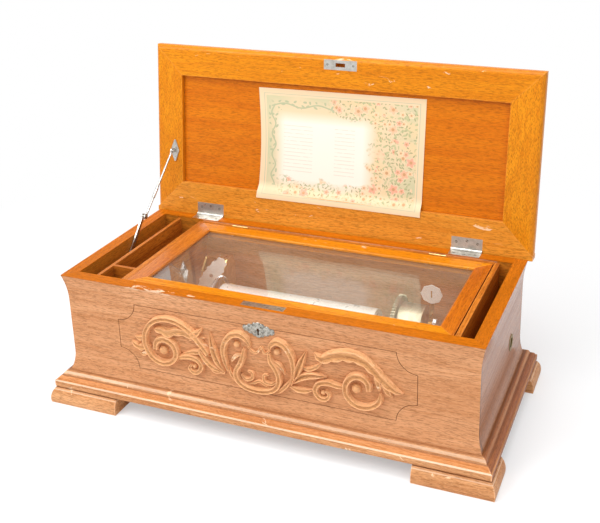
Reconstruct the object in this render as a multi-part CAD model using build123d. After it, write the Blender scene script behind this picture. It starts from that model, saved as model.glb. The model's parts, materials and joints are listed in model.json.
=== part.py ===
from build123d import *
import os
from math import atan2, cos, degrees, hypot, pi, radians, sin, sqrt, tan

# Cylinder music box in an oak case, lid and inner glass lid on hinges.
# Millimetres. X runs along the front, Y to the back, Z up from the table.
# The origin is on the table, under the middle of the case.

# ---- case -------------------------------------------------------------
case_width = 650            # over the rim, left to right
case_depth = 284            # over the rim, front to back
rim_height = 210            # top of the walls above the table
rim_thickness = 20          # front and side walls at the rim
waist = 6                   # how far the waist lies inside the rim
flare_height = 42           # height of the hollow moulding under the rim
cove_height = 30            # height of the hollow moulding above the plinth
back_thickness = 18
bottom_thickness = 12
bottom_height = 30          # underside of the bottom board above the table
foot_height = 24
foot_length = 110
foot_depth = 60
foot_splay = 8
plinth_height = 26
plinth_reach = 19           # plinth in front of the rim, and beside it
plinth_reach_back = 24
plinth_edge = 12            # height of the plinth's outer edge
touch = 0.3                 # between pieces of different bodies
panel_width = 468           # incised panel on the front
panel_drop = 31             # its upper edge under the rim
panel_rise = 22             # its lower edge above the plinth
panel_notch = 30            # radius of the panel's hollow corners
groove_width = 0.9
groove_depth = 1
carving_relief = 6

# ---- compartments -----------------------------------------------------
left_bays_width = 79        # from the left wall to the far face of the partition
left_partition_thickness = 10
right_bay_width = 27.5      # from the right wall to the far face of the partition
right_partition_thickness = 7.5
divider_thickness = 5
outer_bay_width = 26        # the long bay beside the left wall
front_cell_depth = 42
divider_drop = 4            # dividers end this far under the rim

# ---- lid --------------------------------------------------------------
lid_overhang_side = 6
lid_overhang_front = 2
lid_strip = 6.5             # strip on the rear member that hangs behind the rim when open
lid_thickness = 22
lid_frame_width = 50
lid_gap = 0.4               # between the closed lid and the rim
lid_panel_thickness = 9
lid_panel_recess = 7        # panel's inner face behind the frame's
lid_round = 8               # rounding of the lid's lower edge
panel_tongue = 6            # depth of the panel's tongue in the frame
lid_open = 96.6             # angle of the open lid
sheet_width = 288
sheet_margin = 8.2          # from the sheet's upper edge to the lid's front member
sheet_thickness = 0.6
sheet_x = 5
sheet_from_hinge = 43       # lower edge of the sheet above the hinge line
sheet_bend = 12             # length of its bend from the frame to the panel

# ---- glass lid --------------------------------------------------------
glass_lid_drop = 3          # its top lies this far under the rim
glass_lid_thickness = 15
glass_lid_gap = 1.5         # to the walls and partitions
glass_frame_width = 24
pane_thickness = 3
pane_cover = 4              # frame's lip above the pane
pane_seat = 5               # width of that lip
rear_rail_height = 22
rear_rail_thickness = 5
ledge_width = 8
ledge_height = 10

# ---- hinges, lock and stay --------------------------------------------
hinge_x = 227
hinge_width = 50
hinge_leaf = 17.5
hinge_plate = 1.5
knuckle_radius = 3
knuckle_count = 3
pin_radius = 1.2
running = 0.1               # radial play of a pin in its knuckle
small_hinge_x = 172
small_hinge_shift = 16      # the pair is centred right of the case's middle
small_hinge_width = 28
small_leaf = 12
small_plate = 0.8
leaf_play = 0.4               # between the two leaves of a small hinge
small_knuckle = 1.3
small_pin = 0.6
lock_x = 6
lock_width = 66
lock_depth = 12
lock_height = 44
selvage_width = 12
selvage_inset = 11          # its middle behind the rim's front edge
selvage_plate = 1.5
bolt_width = 14
bolt_thickness = 4
bolt_travel = 7
bolt_length = 36
bolt_drop = 0.2             # top of the drawn-in bolt under the rim
strike_width = 56
strike_height = 16
strike_thickness = 1.5
escutcheon_drop = 35.5      # its middle under the rim
escutcheon_width = 50
escutcheon_height = 25
escutcheon_plate = 2.4
keyhole_radius = 2.4
keyhole_slot = 2.4
keyhole_drop = 9
stay_lever_length = 84
stay_open_angle = 46.6      # slope of the lever with the lid open
stay_pivot_y = -4           # lever's pivot on the left wall
stay_pivot_z = 172
stay_eye_height = 108       # eye of the rod along the lid from the hinge line
stay_eye_drop = 7           # eye in front of the lid's inner face
stay_plate = 2.4
stay_round = 1.8            # radius of the rod's shank
stay_grip = 2.6
stay_boss = 4.5
stay_pin = 1.5
stay_gap = 2.5              # between the planes of lever and rod
stay_ear = 5
bracket_width = 16
bracket_height = 38
bracket_plate = 1.6
screw_rise = 0.8            # height of the screw heads

# ---- movement ---------------------------------------------------------
bed_height = 52             # underside of the bedplate above the table
bed_thickness = 8
bed_gap_left = 18           # from the partitions to the bedplate
bed_gap_right = 45.5
bed_front = -104
bed_back = 112
bed_corner = 10
bed_pad = 16                # legs of the bedplate
cylinder_y = 8
cylinder_z = 128
cylinder_radius = 27
cylinder_length = 260
cylinder_x = -5
drum_wall = 2.5
arbor_radius = 4
pin_height = 1              # room for the cylinder's pins
comb_teeth = 72
comb_length = 250
comb_reach = 46             # length of the longest tooth
comb_thickness = 1.8
comb_plate_depth = 26
comb_slot = 0.8
comb_play = 0.5             # from a tooth's tip to the cylinder's pins
comb_taper = 16.5           # how much shorter the last tooth is
barrel_y = 63.6             # in line with the crank hole in the right wall
barrel_z = 108
barrel_radius = 35
barrel_length = 38
barrel_teeth = 60
pinion_teeth = 20
gear_width = 6
great_teeth = 60
governor_teeth = 10
governor_module = 1.234
worm_teeth = 24
worm_module = 1.0
worm_radius = 3             # pitch radius of the endless screw
worm_root = 2               # radius of the screw under its thread
worm_arbor = 1.5
worm_wheel = 6              # thickness of the screw's wheel
governor_arbor = 1.5
backlash = 0.35
fly_radius = 12
fly_height = 24
fly_gap = 5                 # from the screw's wheel to the fly
winding_radius = 5
winding_square = 9
square_length = 37.5        # of the arbor's square inside the partition
square_reach = 6.5          # of the square, past the partition's left face
ratchet_teeth = 16
ratchet_radius = 17
ratchet_thickness = 5
click_y = 52
click_z = 76
click_pin = 2
click_boss = 4
click_gap = 0.4             # from the pawl to the ratchet's tips
standard_thickness = 6
standard_foot = 40          # width of the standards on the bedplate
standard_hub = 10           # radius of their bearings
arm_rise = 25               # underside of the plate's arm above the barrel's axis
crest_y = 80                # back of the arm that carries the slotted plate
crest_rise = 54             # middle of the slotted plate above the barrel's axis
crest_width = 35
crest_height = 32
crest_plate = 1.6
arm_width = 6
end_play = 4                # along an arbor, from a wheel to a bearing
governor_width = 34
governor_front = 36
governor_cap = 7            # from the fly to the top of its frame
governor_side = 3
leaf_drop = 38              # middle of the leaf-shaped plate under the glass lid
leaf_length = 80
leaf_width = 25
leaf_lobe = 3.4
leaf_angle = 53
leaf_plate = 1.6
crank_hole_radius = 8
crank_bush_radius = 11
crank_flange_radius = 13
crank_flange = 1.5
lever_height = 78
lever_swing = 24
lever_inset = 32            # left side of the levers' block from the bedplate's right edge
lever_y = -70
lever_z = 96
lever_ear = 5
lever_gap = 6
lever_plate = 4
lever_pin = 2.5
lever_knob = 4.5

# ---- worked out from the above ----------------------------------------
half_w = case_width / 2
half_d = case_depth / 2
inner_x = half_w - rim_thickness
left_partition_x = -inner_x + left_bays_width
right_partition_x = inner_x - right_bay_width
inner_front = -half_d + rim_thickness
inner_back = half_d - back_thickness
plinth_top = foot_height + plinth_height
panel_height = rim_height - panel_drop - plinth_top - panel_rise
panel_middle_z = plinth_top + panel_rise + panel_height / 2
plinth_half_w = half_w + plinth_reach
plinth_half_d = half_d + (plinth_reach + plinth_reach_back) / 2
plinth_shift = (plinth_reach_back - plinth_reach) / 2
floor_z = bottom_height + bottom_thickness
waist_y = -half_d + waist
divider_top = rim_height - divider_drop
divider_x = -inner_x + outer_bay_width
cell_back = inner_front + front_cell_depth
pin_y = half_d + knuckle_radius + 0.2
pin_z = rim_height + lid_gap / 2
lid_inner = rim_height + lid_gap
lid_half_w = half_w + lid_overhang_side
lid_half_d = (case_depth + lid_overhang_front) / 2
lid_shift = -lid_overhang_front / 2
glass_top = rim_height - glass_lid_drop
glass_bottom = glass_top - glass_lid_thickness
rail_y = inner_back - rear_rail_thickness
small_pin_y = rail_y - small_plate - leaf_play / 2
small_pin_z = glass_top + small_knuckle + leaf_play / 2
glass_back = rail_y - 2 * small_plate - leaf_play
glass_front = inner_front + glass_lid_gap
glass_left = left_partition_x + glass_lid_gap
glass_right = right_partition_x - glass_lid_gap
selvage_y = -half_d + selvage_inset
bed_left = left_partition_x + bed_gap_left
bed_right = right_partition_x - bed_gap_right
bed_top = bed_height + bed_thickness
square_x = right_partition_x - square_length
lever_x = bed_right - lever_inset
leaf_z = glass_bottom - leaf_drop
crest_z = barrel_z + crest_rise
cylinder_left = cylinder_x - cylinder_length / 2
cylinder_right = cylinder_x + cylinder_length / 2
comb_tip_y = cylinder_y - cylinder_radius - pin_height - comb_play
comb_root_y = comb_tip_y - comb_reach
comb_top_z = cylinder_z + comb_thickness / 2
drive_distance = hypot(barrel_y - cylinder_y, barrel_z - cylinder_z)
drive_angle = degrees(atan2(barrel_z - cylinder_z, barrel_y - cylinder_y))
drive_module = 2 * drive_distance / (barrel_teeth + pinion_teeth)
governor_distance = (great_teeth + governor_teeth) * governor_module / 2
governor_y = cylinder_y + governor_distance
governor_z = cylinder_z
fly_low = governor_z + worm_teeth * worm_module / 2 + fly_gap
governor_top = fly_low + fly_height + governor_cap
worm_y = governor_y + worm_teeth * worm_module / 2 + worm_radius
right_standard_x = cylinder_right + end_play
drive_x = right_standard_x + standard_thickness + end_play
barrel_x = drive_x + gear_width + 2
outer_standard_x = barrel_x + barrel_length + end_play
ratchet_x = outer_standard_x + standard_thickness + 3
great_x = cylinder_left - end_play - gear_width
left_standard_x = great_x - end_play - standard_thickness
governor_left = left_standard_x - governor_width
worm_x = (governor_left + left_standard_x + standard_thickness) / 2
stay_lever_x = -inner_x + 1.2 + stay_plate / 2
stay_rod_x = stay_lever_x + stay_plate + stay_gap
stay_elbow_y = stay_pivot_y + stay_lever_length * cos(radians(stay_open_angle))
stay_elbow_z = stay_pivot_z + stay_lever_length * sin(radians(stay_open_angle))
stay_shut_y = pin_y - stay_eye_height
stay_shut_z = lid_inner - stay_eye_drop
bracket_x = stay_rod_x + stay_plate / 2 + touch + bracket_plate / 2


def block(x0, x1, y0, y1, z0, z1):
    """A box from its low and high corners."""
    middle = Pos((x0 + x1) / 2, (y0 + y1) / 2, (z0 + z1) / 2)
    return middle * Box(x1 - x0, y1 - y0, z1 - z0)


def rod_x(x0, x1, y, z, radius):
    """A round rod along X."""
    return Pos((x0 + x1) / 2, y, z) * Rot(0, 90, 0) * Cylinder(radius, x1 - x0)


def rod_y(y0, y1, x, z, radius):
    """A round rod along Y."""
    return Pos(x, (y0 + y1) / 2, z) * Rot(90, 0, 0) * Cylinder(radius, y1 - y0)


def rod_z(z0, z1, x, y, radius):
    """A round rod along Z."""
    return Pos(x, y, (z0 + z1) / 2) * Cylinder(radius, z1 - z0)


def plate_yz(face, x, thickness):
    """Extrude a face drawn in Y and Z along +X, from x."""
    return Plane((x, 0, 0), x_dir=(0, 1, 0), z_dir=(1, 0, 0)).location * extrude(face, thickness)


def plate_xz(face, y, thickness):
    """Extrude a face drawn in X and Z along -Y, from y."""
    return Plane((0, y, 0), x_dir=(1, 0, 0), z_dir=(0, -1, 0)).location * extrude(face, thickness)


def outline(*points):
    """A closed face from its corners."""
    return make_face(Polyline(*points, close=True))


def disc(x, y, radius):
    """A round face at a point of its plane."""
    return Pos(x, y) * Circle(radius)


def moulding(section, half_run, half_gap, turn=0, mitre_left=True, mitre_right=True):
    """A board along one edge of a rectangle, with square or mitred ends.

    The section has X outward from the edge and Y up. Turn 0 puts the board
    at the front, 90 on the right, 180 at the back and 270 on the left.
    """
    spare = case_depth / 4
    low = -half_run - (spare if mitre_left else 0)
    high = half_run + (spare if mitre_right else 0)
    plane = Plane((high, -half_gap, 0), x_dir=(0, -1, 0), z_dir=(-1, 0, 0))
    board = plane.location * extrude(section, high - low)
    if mitre_left:
        cut = Plane((-half_run, -half_gap, 0), z_dir=(-1, 1, 0))
        board = split(board, bisect_by=cut, keep=Keep.BOTTOM)
    if mitre_right:
        cut = Plane((half_run, -half_gap, 0), z_dir=(1, 1, 0))
        board = split(board, bisect_by=cut, keep=Keep.BOTTOM)
    return Rot(0, 0, turn) * board


def hollow_depth(height, rise):
    """How far a hollow moulding stands out at a height above its foot."""
    radius = (height ** 2 + waist ** 2) / (2 * waist)
    return radius - sqrt(radius ** 2 - rise ** 2)


# ---- case -------------------------------------------------------------
def wall_section():
    """Front and side walls: waisted between two hollow mouldings."""
    flare_foot = rim_height - flare_height
    cove_top = plinth_top + cove_height
    flare_middle = hollow_depth(flare_height, flare_height / 2) - waist
    cove_middle = hollow_depth(cove_height, cove_height / 2) - waist
    return make_face([
        Line((-rim_thickness, foot_height), (0, foot_height)),
        Line((0, foot_height), (0, plinth_top)),
        ThreePointArc((0, plinth_top), (cove_middle, plinth_top + cove_height / 2), (-waist, cove_top)),
        Line((-waist, cove_top), (-waist, flare_foot)),
        ThreePointArc((-waist, flare_foot), (flare_middle, flare_foot + flare_height / 2), (0, rim_height)),
        Line((0, rim_height), (-rim_thickness, rim_height)),
        Line((-rim_thickness, rim_height), (-rim_thickness, foot_height)),
    ])


def panel_face(inset):
    """The incised panel on the front, with its hollow corners."""
    face = Rectangle(panel_width - 2 * inset, panel_height - 2 * inset)
    for side_x in (-1, 1):
        for side_z in (-1, 1):
            corner = Pos(side_x * panel_width / 2, side_z * panel_height / 2)
            face -= corner * Circle(panel_notch + inset)
    return Pos(0, panel_middle_z) * face


def case_front():
    """Front wall, with the lock's pocket, the keyhole and the panel line."""
    wall = moulding(wall_section(), half_w, half_d)
    left = lock_x - lock_width / 2
    right = lock_x + lock_width / 2
    wall -= block(left, right, inner_front - lock_depth, inner_front + 1, rim_height - lock_height,
                  rim_height + 1)
    wall -= block(left, right, selvage_y - selvage_width / 2, selvage_y + selvage_width / 2,
                  rim_height - selvage_plate, rim_height + 1)
    wall -= rod_y(-half_d - 1, inner_front, 0, rim_height - escutcheon_drop, keyhole_radius)
    wall -= block(-keyhole_slot / 2, keyhole_slot / 2, -half_d - 1, inner_front,
                  rim_height - escutcheon_drop - keyhole_drop, rim_height - escutcheon_drop)
    groove = panel_face(0) - panel_face(groove_width)
    return wall - plate_xz(groove, waist_y + groove_depth, waist + 2 * groove_depth)


def case_side(turn):
    """A side wall: mitred to the front, square at the back."""
    right = turn == 90
    return moulding(wall_section(), half_d, half_w, turn, mitre_left=right, mitre_right=not right)


def case_right():
    """Right wall, bored for the crank bush."""
    bore = rod_x(inner_x - 1, half_w + 1, barrel_y, barrel_z, crank_bush_radius)
    seat = rod_x(half_w - waist - crank_flange, half_w + 1, barrel_y, barrel_z, crank_flange_radius)
    return case_side(90) - bore - seat


def case_back():
    """Back board between the side walls, cut for the two hinge leaves."""
    board = block(-inner_x, inner_x, inner_back, half_d, foot_height, rim_height)
    for x in (-hinge_x, hinge_x):
        board -= block(x - hinge_width / 2, x + hinge_width / 2, half_d - hinge_leaf, half_d + 1,
                       rim_height - hinge_plate, rim_height + 1)
    return board


def bottom_board():
    """Bottom of the case, held between the four walls."""
    return block(-inner_x, inner_x, inner_front, inner_back, bottom_height, floor_z)


def plinth_section(reach):
    """Base moulding: rounded foot edge, fillet, hollow and a rounded top."""
    low = foot_height
    edge = foot_height + plinth_edge
    soft = plinth_edge / 3
    bead = (plinth_top - edge) / 2
    return make_face([
        Line((-reach, low), (-soft, low)),
        ThreePointArc((-soft, low), (-soft * (1 - sin(pi / 4)), low + soft * (1 - cos(pi / 4))),
                      (0, low + soft)),
        Line((0, low + soft), (0, edge)),
        Line((0, edge), (-2, edge)),
        ThreePointArc((-2, edge), (-3 - bead / 3, edge + bead * 0.7), (-3 - bead, edge + bead)),
        ThreePointArc((-3 - bead, edge + bead), (-4 - bead * 1.25, plinth_top - bead * 0.25),
                      (-5 - bead * 1.6, plinth_top)),
        Line((-5 - bead * 1.6, plinth_top), (-reach, plinth_top)),
        Line((-reach, plinth_top), (-reach, low)),
    ])


def plinth(turn):
    """One length of the base moulding, mitred at both corners."""
    along_x = turn in (0, 180)
    reach = max(plinth_reach, plinth_reach_back)
    run = plinth_half_w if along_x else plinth_half_d
    gap = plinth_half_d if along_x else plinth_half_w
    board = Pos(0, plinth_shift, 0) * moulding(plinth_section(reach), run, gap, turn)
    return board - block(-half_w, half_w, -half_d, half_d, 0, rim_height)


def feet():
    """Four block feet with a rounded face, splayed towards the table."""
    made = []
    bulge = foot_splay * 0.75
    section = make_face([
        Line((-foot_depth, 0), (foot_splay - 2, 0)),
        ThreePointArc((foot_splay - 2, 0), (bulge, foot_height * 0.5), (0, foot_height)),
        Line((0, foot_height), (-foot_depth, foot_height)),
        Line((-foot_depth, foot_height), (-foot_depth, 0)),
    ])
    for side_x in (-1, 1):
        for side_y in (-1, 1):
            whole = moulding(section, plinth_half_w, plinth_half_d, 0 if side_y < 0 else 180)
            end = moulding(section, plinth_half_d, plinth_half_w, 90 if side_x > 0 else 270)
            corner_x = side_x * plinth_half_w
            corner_y = side_y * plinth_half_d
            room = block(min(corner_x - side_x * foot_length, corner_x + side_x * 30),
                         max(corner_x - side_x * foot_length, corner_x + side_x * 30),
                         min(corner_y - side_y * foot_depth, corner_y + side_y * 30),
                         max(corner_y - side_y * foot_depth, corner_y + side_y * 30), -1, foot_height + 1)
            foot = (whole + end) & room
            made.append(Pos(0, plinth_shift, 0) * foot)
    return made


def left_divider():
    """Thin board between the long outer bay and the second bay."""
    return block(divider_x, divider_x + divider_thickness, inner_front, inner_back, floor_z, divider_top)


def cross_divider():
    """Short board that makes the small front cell of the second bay."""
    return block(divider_x + divider_thickness, left_partition_x - left_partition_thickness,
                 cell_back, cell_back + divider_thickness, floor_z, divider_top)


def left_partition():
    """Partition left of the movement."""
    return block(left_partition_x - left_partition_thickness, left_partition_x,
                 inner_front, inner_back, floor_z, divider_top)


def right_partition():
    """Partition right of the movement, bored where the crank passes."""
    board = block(right_partition_x, right_partition_x + right_partition_thickness,
                  inner_front, inner_back, floor_z, divider_top)
    return board - rod_x(right_partition_x - 1, inner_x, barrel_y, barrel_z, crank_hole_radius)


def rear_rail():
    """Strip on the back board that carries the glass lid's hinges."""
    return block(left_partition_x, right_partition_x, rail_y, inner_back,
                 glass_top - rear_rail_height, glass_top)


def glass_lid_ledges():
    """Strips on the front wall and the partitions, under the glass lid."""
    top = glass_bottom - touch
    low = top - ledge_height
    front = block(left_partition_x, right_partition_x, inner_front, inner_front + ledge_width, low, top)
    left = block(left_partition_x, left_partition_x + ledge_width,
                 inner_front + ledge_width, rail_y, low, top)
    right = block(right_partition_x - ledge_width, right_partition_x,
                  inner_front + ledge_width, rail_y, low, top)
    return [front, left, right]


# ---- carving on the front -------------------------------------------------
def ribbon(points, widths):
    """A flat band along a smooth line, its width given at every point."""
    line = Spline(*[(x, z) for x, z in points])
    steps = 2 * (len(points) - 1)
    left = []
    right = []
    for step in range(steps + 1):
        share = step / steps
        place = share * (len(widths) - 1)
        index = min(int(place), len(widths) - 2)
        width = widths[index] + (widths[index + 1] - widths[index]) * (place - index)
        middle = line @ share
        along = line % share
        left.append((middle.X - along.Y * width / 2, middle.Y + along.X * width / 2))
        right.append((middle.X + along.Y * width / 2, middle.Y - along.X * width / 2))
    return outline(*left, *reversed(right))


def carving_bands():
    """Right half of the scrollwork, drawn for a panel 468 by 107 at a height of 125.5."""
    volute = ribbon([(164, 152), (175, 138), (179, 118), (172, 99), (156, 89), (140, 91), (130, 104),
                     (132, 121), (144, 131), (157, 127), (162, 114), (156, 104), (147, 105)],
                    [10, 9, 9, 8, 8, 8, 8, 9, 9, 8, 7, 6, 4])
    leaf = ribbon([(88, 152), (104, 150), (122, 157), (142, 158), (160, 153), (174, 143), (187, 128),
                   (200, 119), (212, 118)], [3, 13, 16, 19, 16, 14, 13, 11, 2])
    stalk = ribbon([(42, 97), (60, 108), (76, 121), (90, 134), (104, 147)], [4, 6, 7, 8, 11])
    spear_up = ribbon([(49, 101), (60, 117), (68, 137), (73, 156)], [4, 11, 8, 1])
    spear_side = ribbon([(62, 107), (80, 115), (95, 119), (107, 119)], [4, 11, 11, 1])
    spear_low = ribbon([(42, 97), (58, 97), (70, 94), (80, 91)], [4, 10, 9, 1])
    curl = ribbon([(131, 103), (118, 109), (105, 110), (95, 104), (92, 94), (99, 87), (108, 91)],
                  [6, 9, 9, 8, 6, 5, 3])
    ring = ribbon([(41, 99), (49, 112), (51, 130), (46, 148), (35, 159), (24, 158), (17, 149)],
                  [3, 7, 9, 10, 10, 8, 3])
    cup = ribbon([(14, 129), (27, 124), (35, 113), (34, 98), (26, 87), (13, 82), (0, 80)],
                 [3, 9, 10, 9, 8, 7, 7])
    bud = ribbon([(3, 83), (12, 88), (17, 96), (12, 102), (6, 99)], [5, 5, 4, 3, 2])
    crown = ribbon([(18, 151), (12, 144), (5, 141), (0, 141)], [4, 5, 4, 3])
    return [volute, leaf, stalk, spear_up, spear_side, spear_low, curl, ring, cup, bud, crown]


def front_carving():
    """Applied scroll and leaf carving, mirrored about the keyhole's line."""
    half = Sketch() + carving_bands()
    whole = half + mirror(half, Plane.YZ)
    grown = scale(Pos(0, -125.5) * whole, (panel_width / 468, panel_height / 107, 1))
    relief = plate_xz(Pos(0, panel_middle_z) * grown, waist_y, carving_relief)
    return relief - moulding(wall_section(), half_w, half_d)


# ---- lock and crank hole --------------------------------------------------
def lock_case():
    """Lock let into the front wall, with its face plate in the rim."""
    low = rim_height - lock_height
    body = block(lock_x - lock_width / 2, lock_x + lock_width / 2, inner_front - lock_depth, inner_front,
                 low, rim_height - selvage_plate)
    face = block(lock_x - lock_width / 2, lock_x + lock_width / 2, selvage_y - selvage_width / 2,
                 selvage_y + selvage_width / 2, rim_height - selvage_plate, rim_height)
    across = bolt_width / 2 + touch
    deep = bolt_thickness / 2 + touch
    slot = block(lock_x - across, lock_x + across, selvage_y - deep, selvage_y + deep,
                 low + selvage_plate, rim_height + 1)
    return body + face - slot


def lock_bolt():
    """Bolt that rises from the lock into the lid."""
    top = rim_height - bolt_drop
    return block(lock_x - bolt_width / 2, lock_x + bolt_width / 2, selvage_y - bolt_thickness / 2,
                 selvage_y + bolt_thickness / 2, top - bolt_length, top)


def keyhole_escutcheon():
    """Ornamental plate with scalloped edge around the keyhole."""
    face = Rectangle(escutcheon_width * 0.78, escutcheon_height * 0.5)
    for side in (-1, 1):
        face += disc(side * escutcheon_width * 0.39, 0, escutcheon_height * 0.22)
        face += disc(side * escutcheon_width * 0.24, 0, escutcheon_height * 0.31)
    face += disc(0, 0, escutcheon_height * 0.42)
    face += disc(0, escutcheon_height * 0.34, escutcheon_height * 0.16)
    face += disc(0, -escutcheon_height * 0.34, escutcheon_height * 0.16)
    face -= disc(0, 0, keyhole_radius)
    face -= Pos(0, -keyhole_drop / 2) * Rectangle(keyhole_slot, keyhole_drop)
    plate = plate_xz(Pos(0, rim_height - escutcheon_drop) * face, waist_y, escutcheon_plate)
    return plate - moulding(wall_section(), half_w, half_d)


def crank_bush():
    """Flanged brass bush in the right wall, where the crank goes in."""
    bush = rod_x(inner_x, half_w - waist - crank_flange, barrel_y, barrel_z, crank_bush_radius)
    bush += rod_x(half_w - waist - crank_flange, half_w - waist + crank_flange / 2, barrel_y, barrel_z,
                  crank_flange_radius)
    return bush - rod_x(inner_x - 1, half_w + 1, barrel_y, barrel_z, crank_hole_radius)


# ---- hinges ---------------------------------------------------------------
def knuckles(x, width, y, z, radius, first, count):
    """Every second knuckle of a hinge, from its first or second one."""
    each = width / count
    made = []
    for index in range(first, count, 2):
        low = x - width / 2 + index * each
        made.append(rod_x(low + touch / 2, low + each - touch / 2, y, z, radius))
    return made


def case_hinge_leaves():
    """Rim leaves of the two lid hinges, with their knuckles and the pin."""
    made = []
    for x in (-hinge_x, hinge_x):
        leaf = block(x - hinge_width / 2, x + hinge_width / 2, half_d - hinge_leaf, half_d,
                     rim_height - hinge_plate, rim_height)
        hinge = leaf
        for knuckle in knuckles(x, hinge_width, pin_y, pin_z, knuckle_radius, 0, knuckle_count):
            box = knuckle.bounding_box()
            hinge += knuckle
            hinge += block(box.min.X, box.max.X, half_d - 1, pin_y, rim_height - hinge_plate, rim_height)
        hinge += rod_x(x - hinge_width / 2, x + hinge_width / 2, pin_y, pin_z, pin_radius)
        made.append(hinge)
    return made


def lid_hinge_leaves():
    """Lid leaves of the two lid hinges, with their knuckles."""
    made = []
    for x in (-hinge_x, hinge_x):
        hinge = block(x - hinge_width / 2, x + hinge_width / 2, half_d - hinge_leaf, half_d,
                      lid_inner, lid_inner + hinge_plate)
        for knuckle in knuckles(x, hinge_width, pin_y, pin_z, knuckle_radius, 1, knuckle_count):
            box = knuckle.bounding_box()
            hinge += knuckle
            hinge += block(box.min.X, box.max.X, half_d - 1, pin_y, lid_inner, lid_inner + hinge_plate)
        hinge -= rod_x(x - hinge_width, x + hinge_width, pin_y, pin_z, pin_radius + running)
        made.append(hinge)
    return made


def small_hinges(fixed):
    """One half of each small hinge between the rear rail and the glass lid."""
    made = []
    side = 1 if fixed else -1
    near = small_pin_y + side * leaf_play / 2
    far = near + side * small_plate
    for x in (small_hinge_shift - small_hinge_x, small_hinge_shift + small_hinge_x):
        leaf = block(x - small_hinge_width / 2, x + small_hinge_width / 2, min(near, far), max(near, far),
                     glass_top - small_leaf, glass_top)
        for knuckle in knuckles(x, small_hinge_width, small_pin_y, small_pin_z, small_knuckle,
                                0 if fixed else 1, 3):
            box = knuckle.bounding_box()
            leaf += knuckle
            leaf += block(box.min.X, box.max.X, min(near, far), max(near, far), glass_top, small_pin_z)
        if fixed:
            leaf += rod_x(x - small_hinge_width / 2, x + small_hinge_width / 2, small_pin_y, small_pin_z,
                          small_pin)
        else:
            leaf -= rod_x(x - small_hinge_width, x + small_hinge_width, small_pin_y, small_pin_z,
                          small_pin + running)
        made.append(leaf)
    return made


# ---- lid, drawn closed and then opened --------------------------------------
def opened(shape):
    """Turn a piece of the closed lid to where it stands open."""
    axis = Axis((0, pin_y, pin_z), (-1, 0, 0))
    if isinstance(shape, list):
        return [piece.rotate(axis, lid_open) for piece in shape]
    return shape.rotate(axis, lid_open)


def lid_section(rounded):
    """Frame member: X outward, Y up from the inner face, grooved for the panel."""
    top = lid_thickness
    soft = lid_round if rounded else 1.5
    tongue_low = lid_panel_recess + lid_panel_thickness / 3
    tongue_high = lid_panel_recess + lid_panel_thickness * 2 / 3
    arc = soft * (1 - sin(pi / 4))
    return make_face([
        Line((-lid_frame_width, 0), (-soft, 0)),
        ThreePointArc((-soft, 0), (-arc, arc), (0, soft)),
        Line((0, soft), (0, top - 5)),
        Line((0, top - 5), (-2, top - 5)),
        ThreePointArc((-2, top - 5), (-3.5, top - 1.5), (-7, top)),
        Line((-7, top), (-lid_frame_width, top)),
        Line((-lid_frame_width, top), (-lid_frame_width, tongue_high)),
        Line((-lid_frame_width, tongue_high), (-lid_frame_width + panel_tongue, tongue_high)),
        Line((-lid_frame_width + panel_tongue, tongue_high), (-lid_frame_width + panel_tongue, tongue_low)),
        Line((-lid_frame_width + panel_tongue, tongue_low), (-lid_frame_width, tongue_low)),
        Line((-lid_frame_width, tongue_low), (-lid_frame_width, 0)),
    ])


def lid_member(turn):
    """One mitred member of the lid's frame, closed."""
    along_x = turn in (0, 180)
    run = lid_half_w if along_x else lid_half_d
    gap = lid_half_d if along_x else lid_half_w
    return Pos(0, lid_shift, lid_inner) * moulding(lid_section(turn != 180), run, gap, turn)


def lid_rail_back():
    """Rear member with its strip behind the rim, cut for the hinges."""
    rail = lid_member(180)
    far = half_d + lid_strip
    rail += block(-lid_half_w, lid_half_w, half_d - 1, far, lid_inner, lid_inner + lid_thickness)
    for x in (-hinge_x, hinge_x):
        rail -= block(x - hinge_width / 2, x + hinge_width / 2, half_d - hinge_leaf, half_d + 1,
                      lid_inner - 1, lid_inner + hinge_plate)
        rail -= block(x - hinge_width / 2 - touch, x + hinge_width / 2 + touch, half_d, far + 1,
                      lid_inner - 1, pin_z + knuckle_radius + touch)
    return opened(rail)


def lid_rail_front():
    """Front member, cut for the strike plate and the bolt."""
    rail = lid_member(0)
    rail -= block(lock_x - strike_width / 2, lock_x + strike_width / 2, selvage_y - strike_height / 2,
                  selvage_y + strike_height / 2, lid_inner - 1, lid_inner + strike_thickness)
    rail -= strike_slot(bolt_travel + 4)
    return opened(rail)


def strike_slot(depth):
    """Room for the bolt in the strike plate and the rail above it."""
    return block(lock_x - bolt_width / 2 - 1, lock_x + bolt_width / 2 + 1,
                 selvage_y - bolt_thickness / 2 - 1, selvage_y + bolt_thickness / 2 + 1,
                 lid_inner - 1, lid_inner + depth)


def strike_plate():
    """Plate in the lid's front member that the bolt enters."""
    plate = block(lock_x - strike_width / 2, lock_x + strike_width / 2, selvage_y - strike_height / 2,
                  selvage_y + strike_height / 2, lid_inner, lid_inner + strike_thickness)
    return opened(plate - strike_slot(bolt_travel))


def lid_panel():
    """Panel held in the frame's groove by a tongue all round."""
    half_x = lid_half_w - lid_frame_width
    half_y = lid_half_d - lid_frame_width
    low = lid_inner + lid_panel_recess
    third = lid_panel_thickness / 3
    field = block(-half_x, half_x, lid_shift - half_y, lid_shift + half_y, low, low + lid_panel_thickness)
    reach = panel_tongue
    tongue = block(-half_x - reach, half_x + reach, lid_shift - half_y - reach, lid_shift + half_y + reach,
                   low + third, low + 2 * third)
    return opened(field + tongue)


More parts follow.
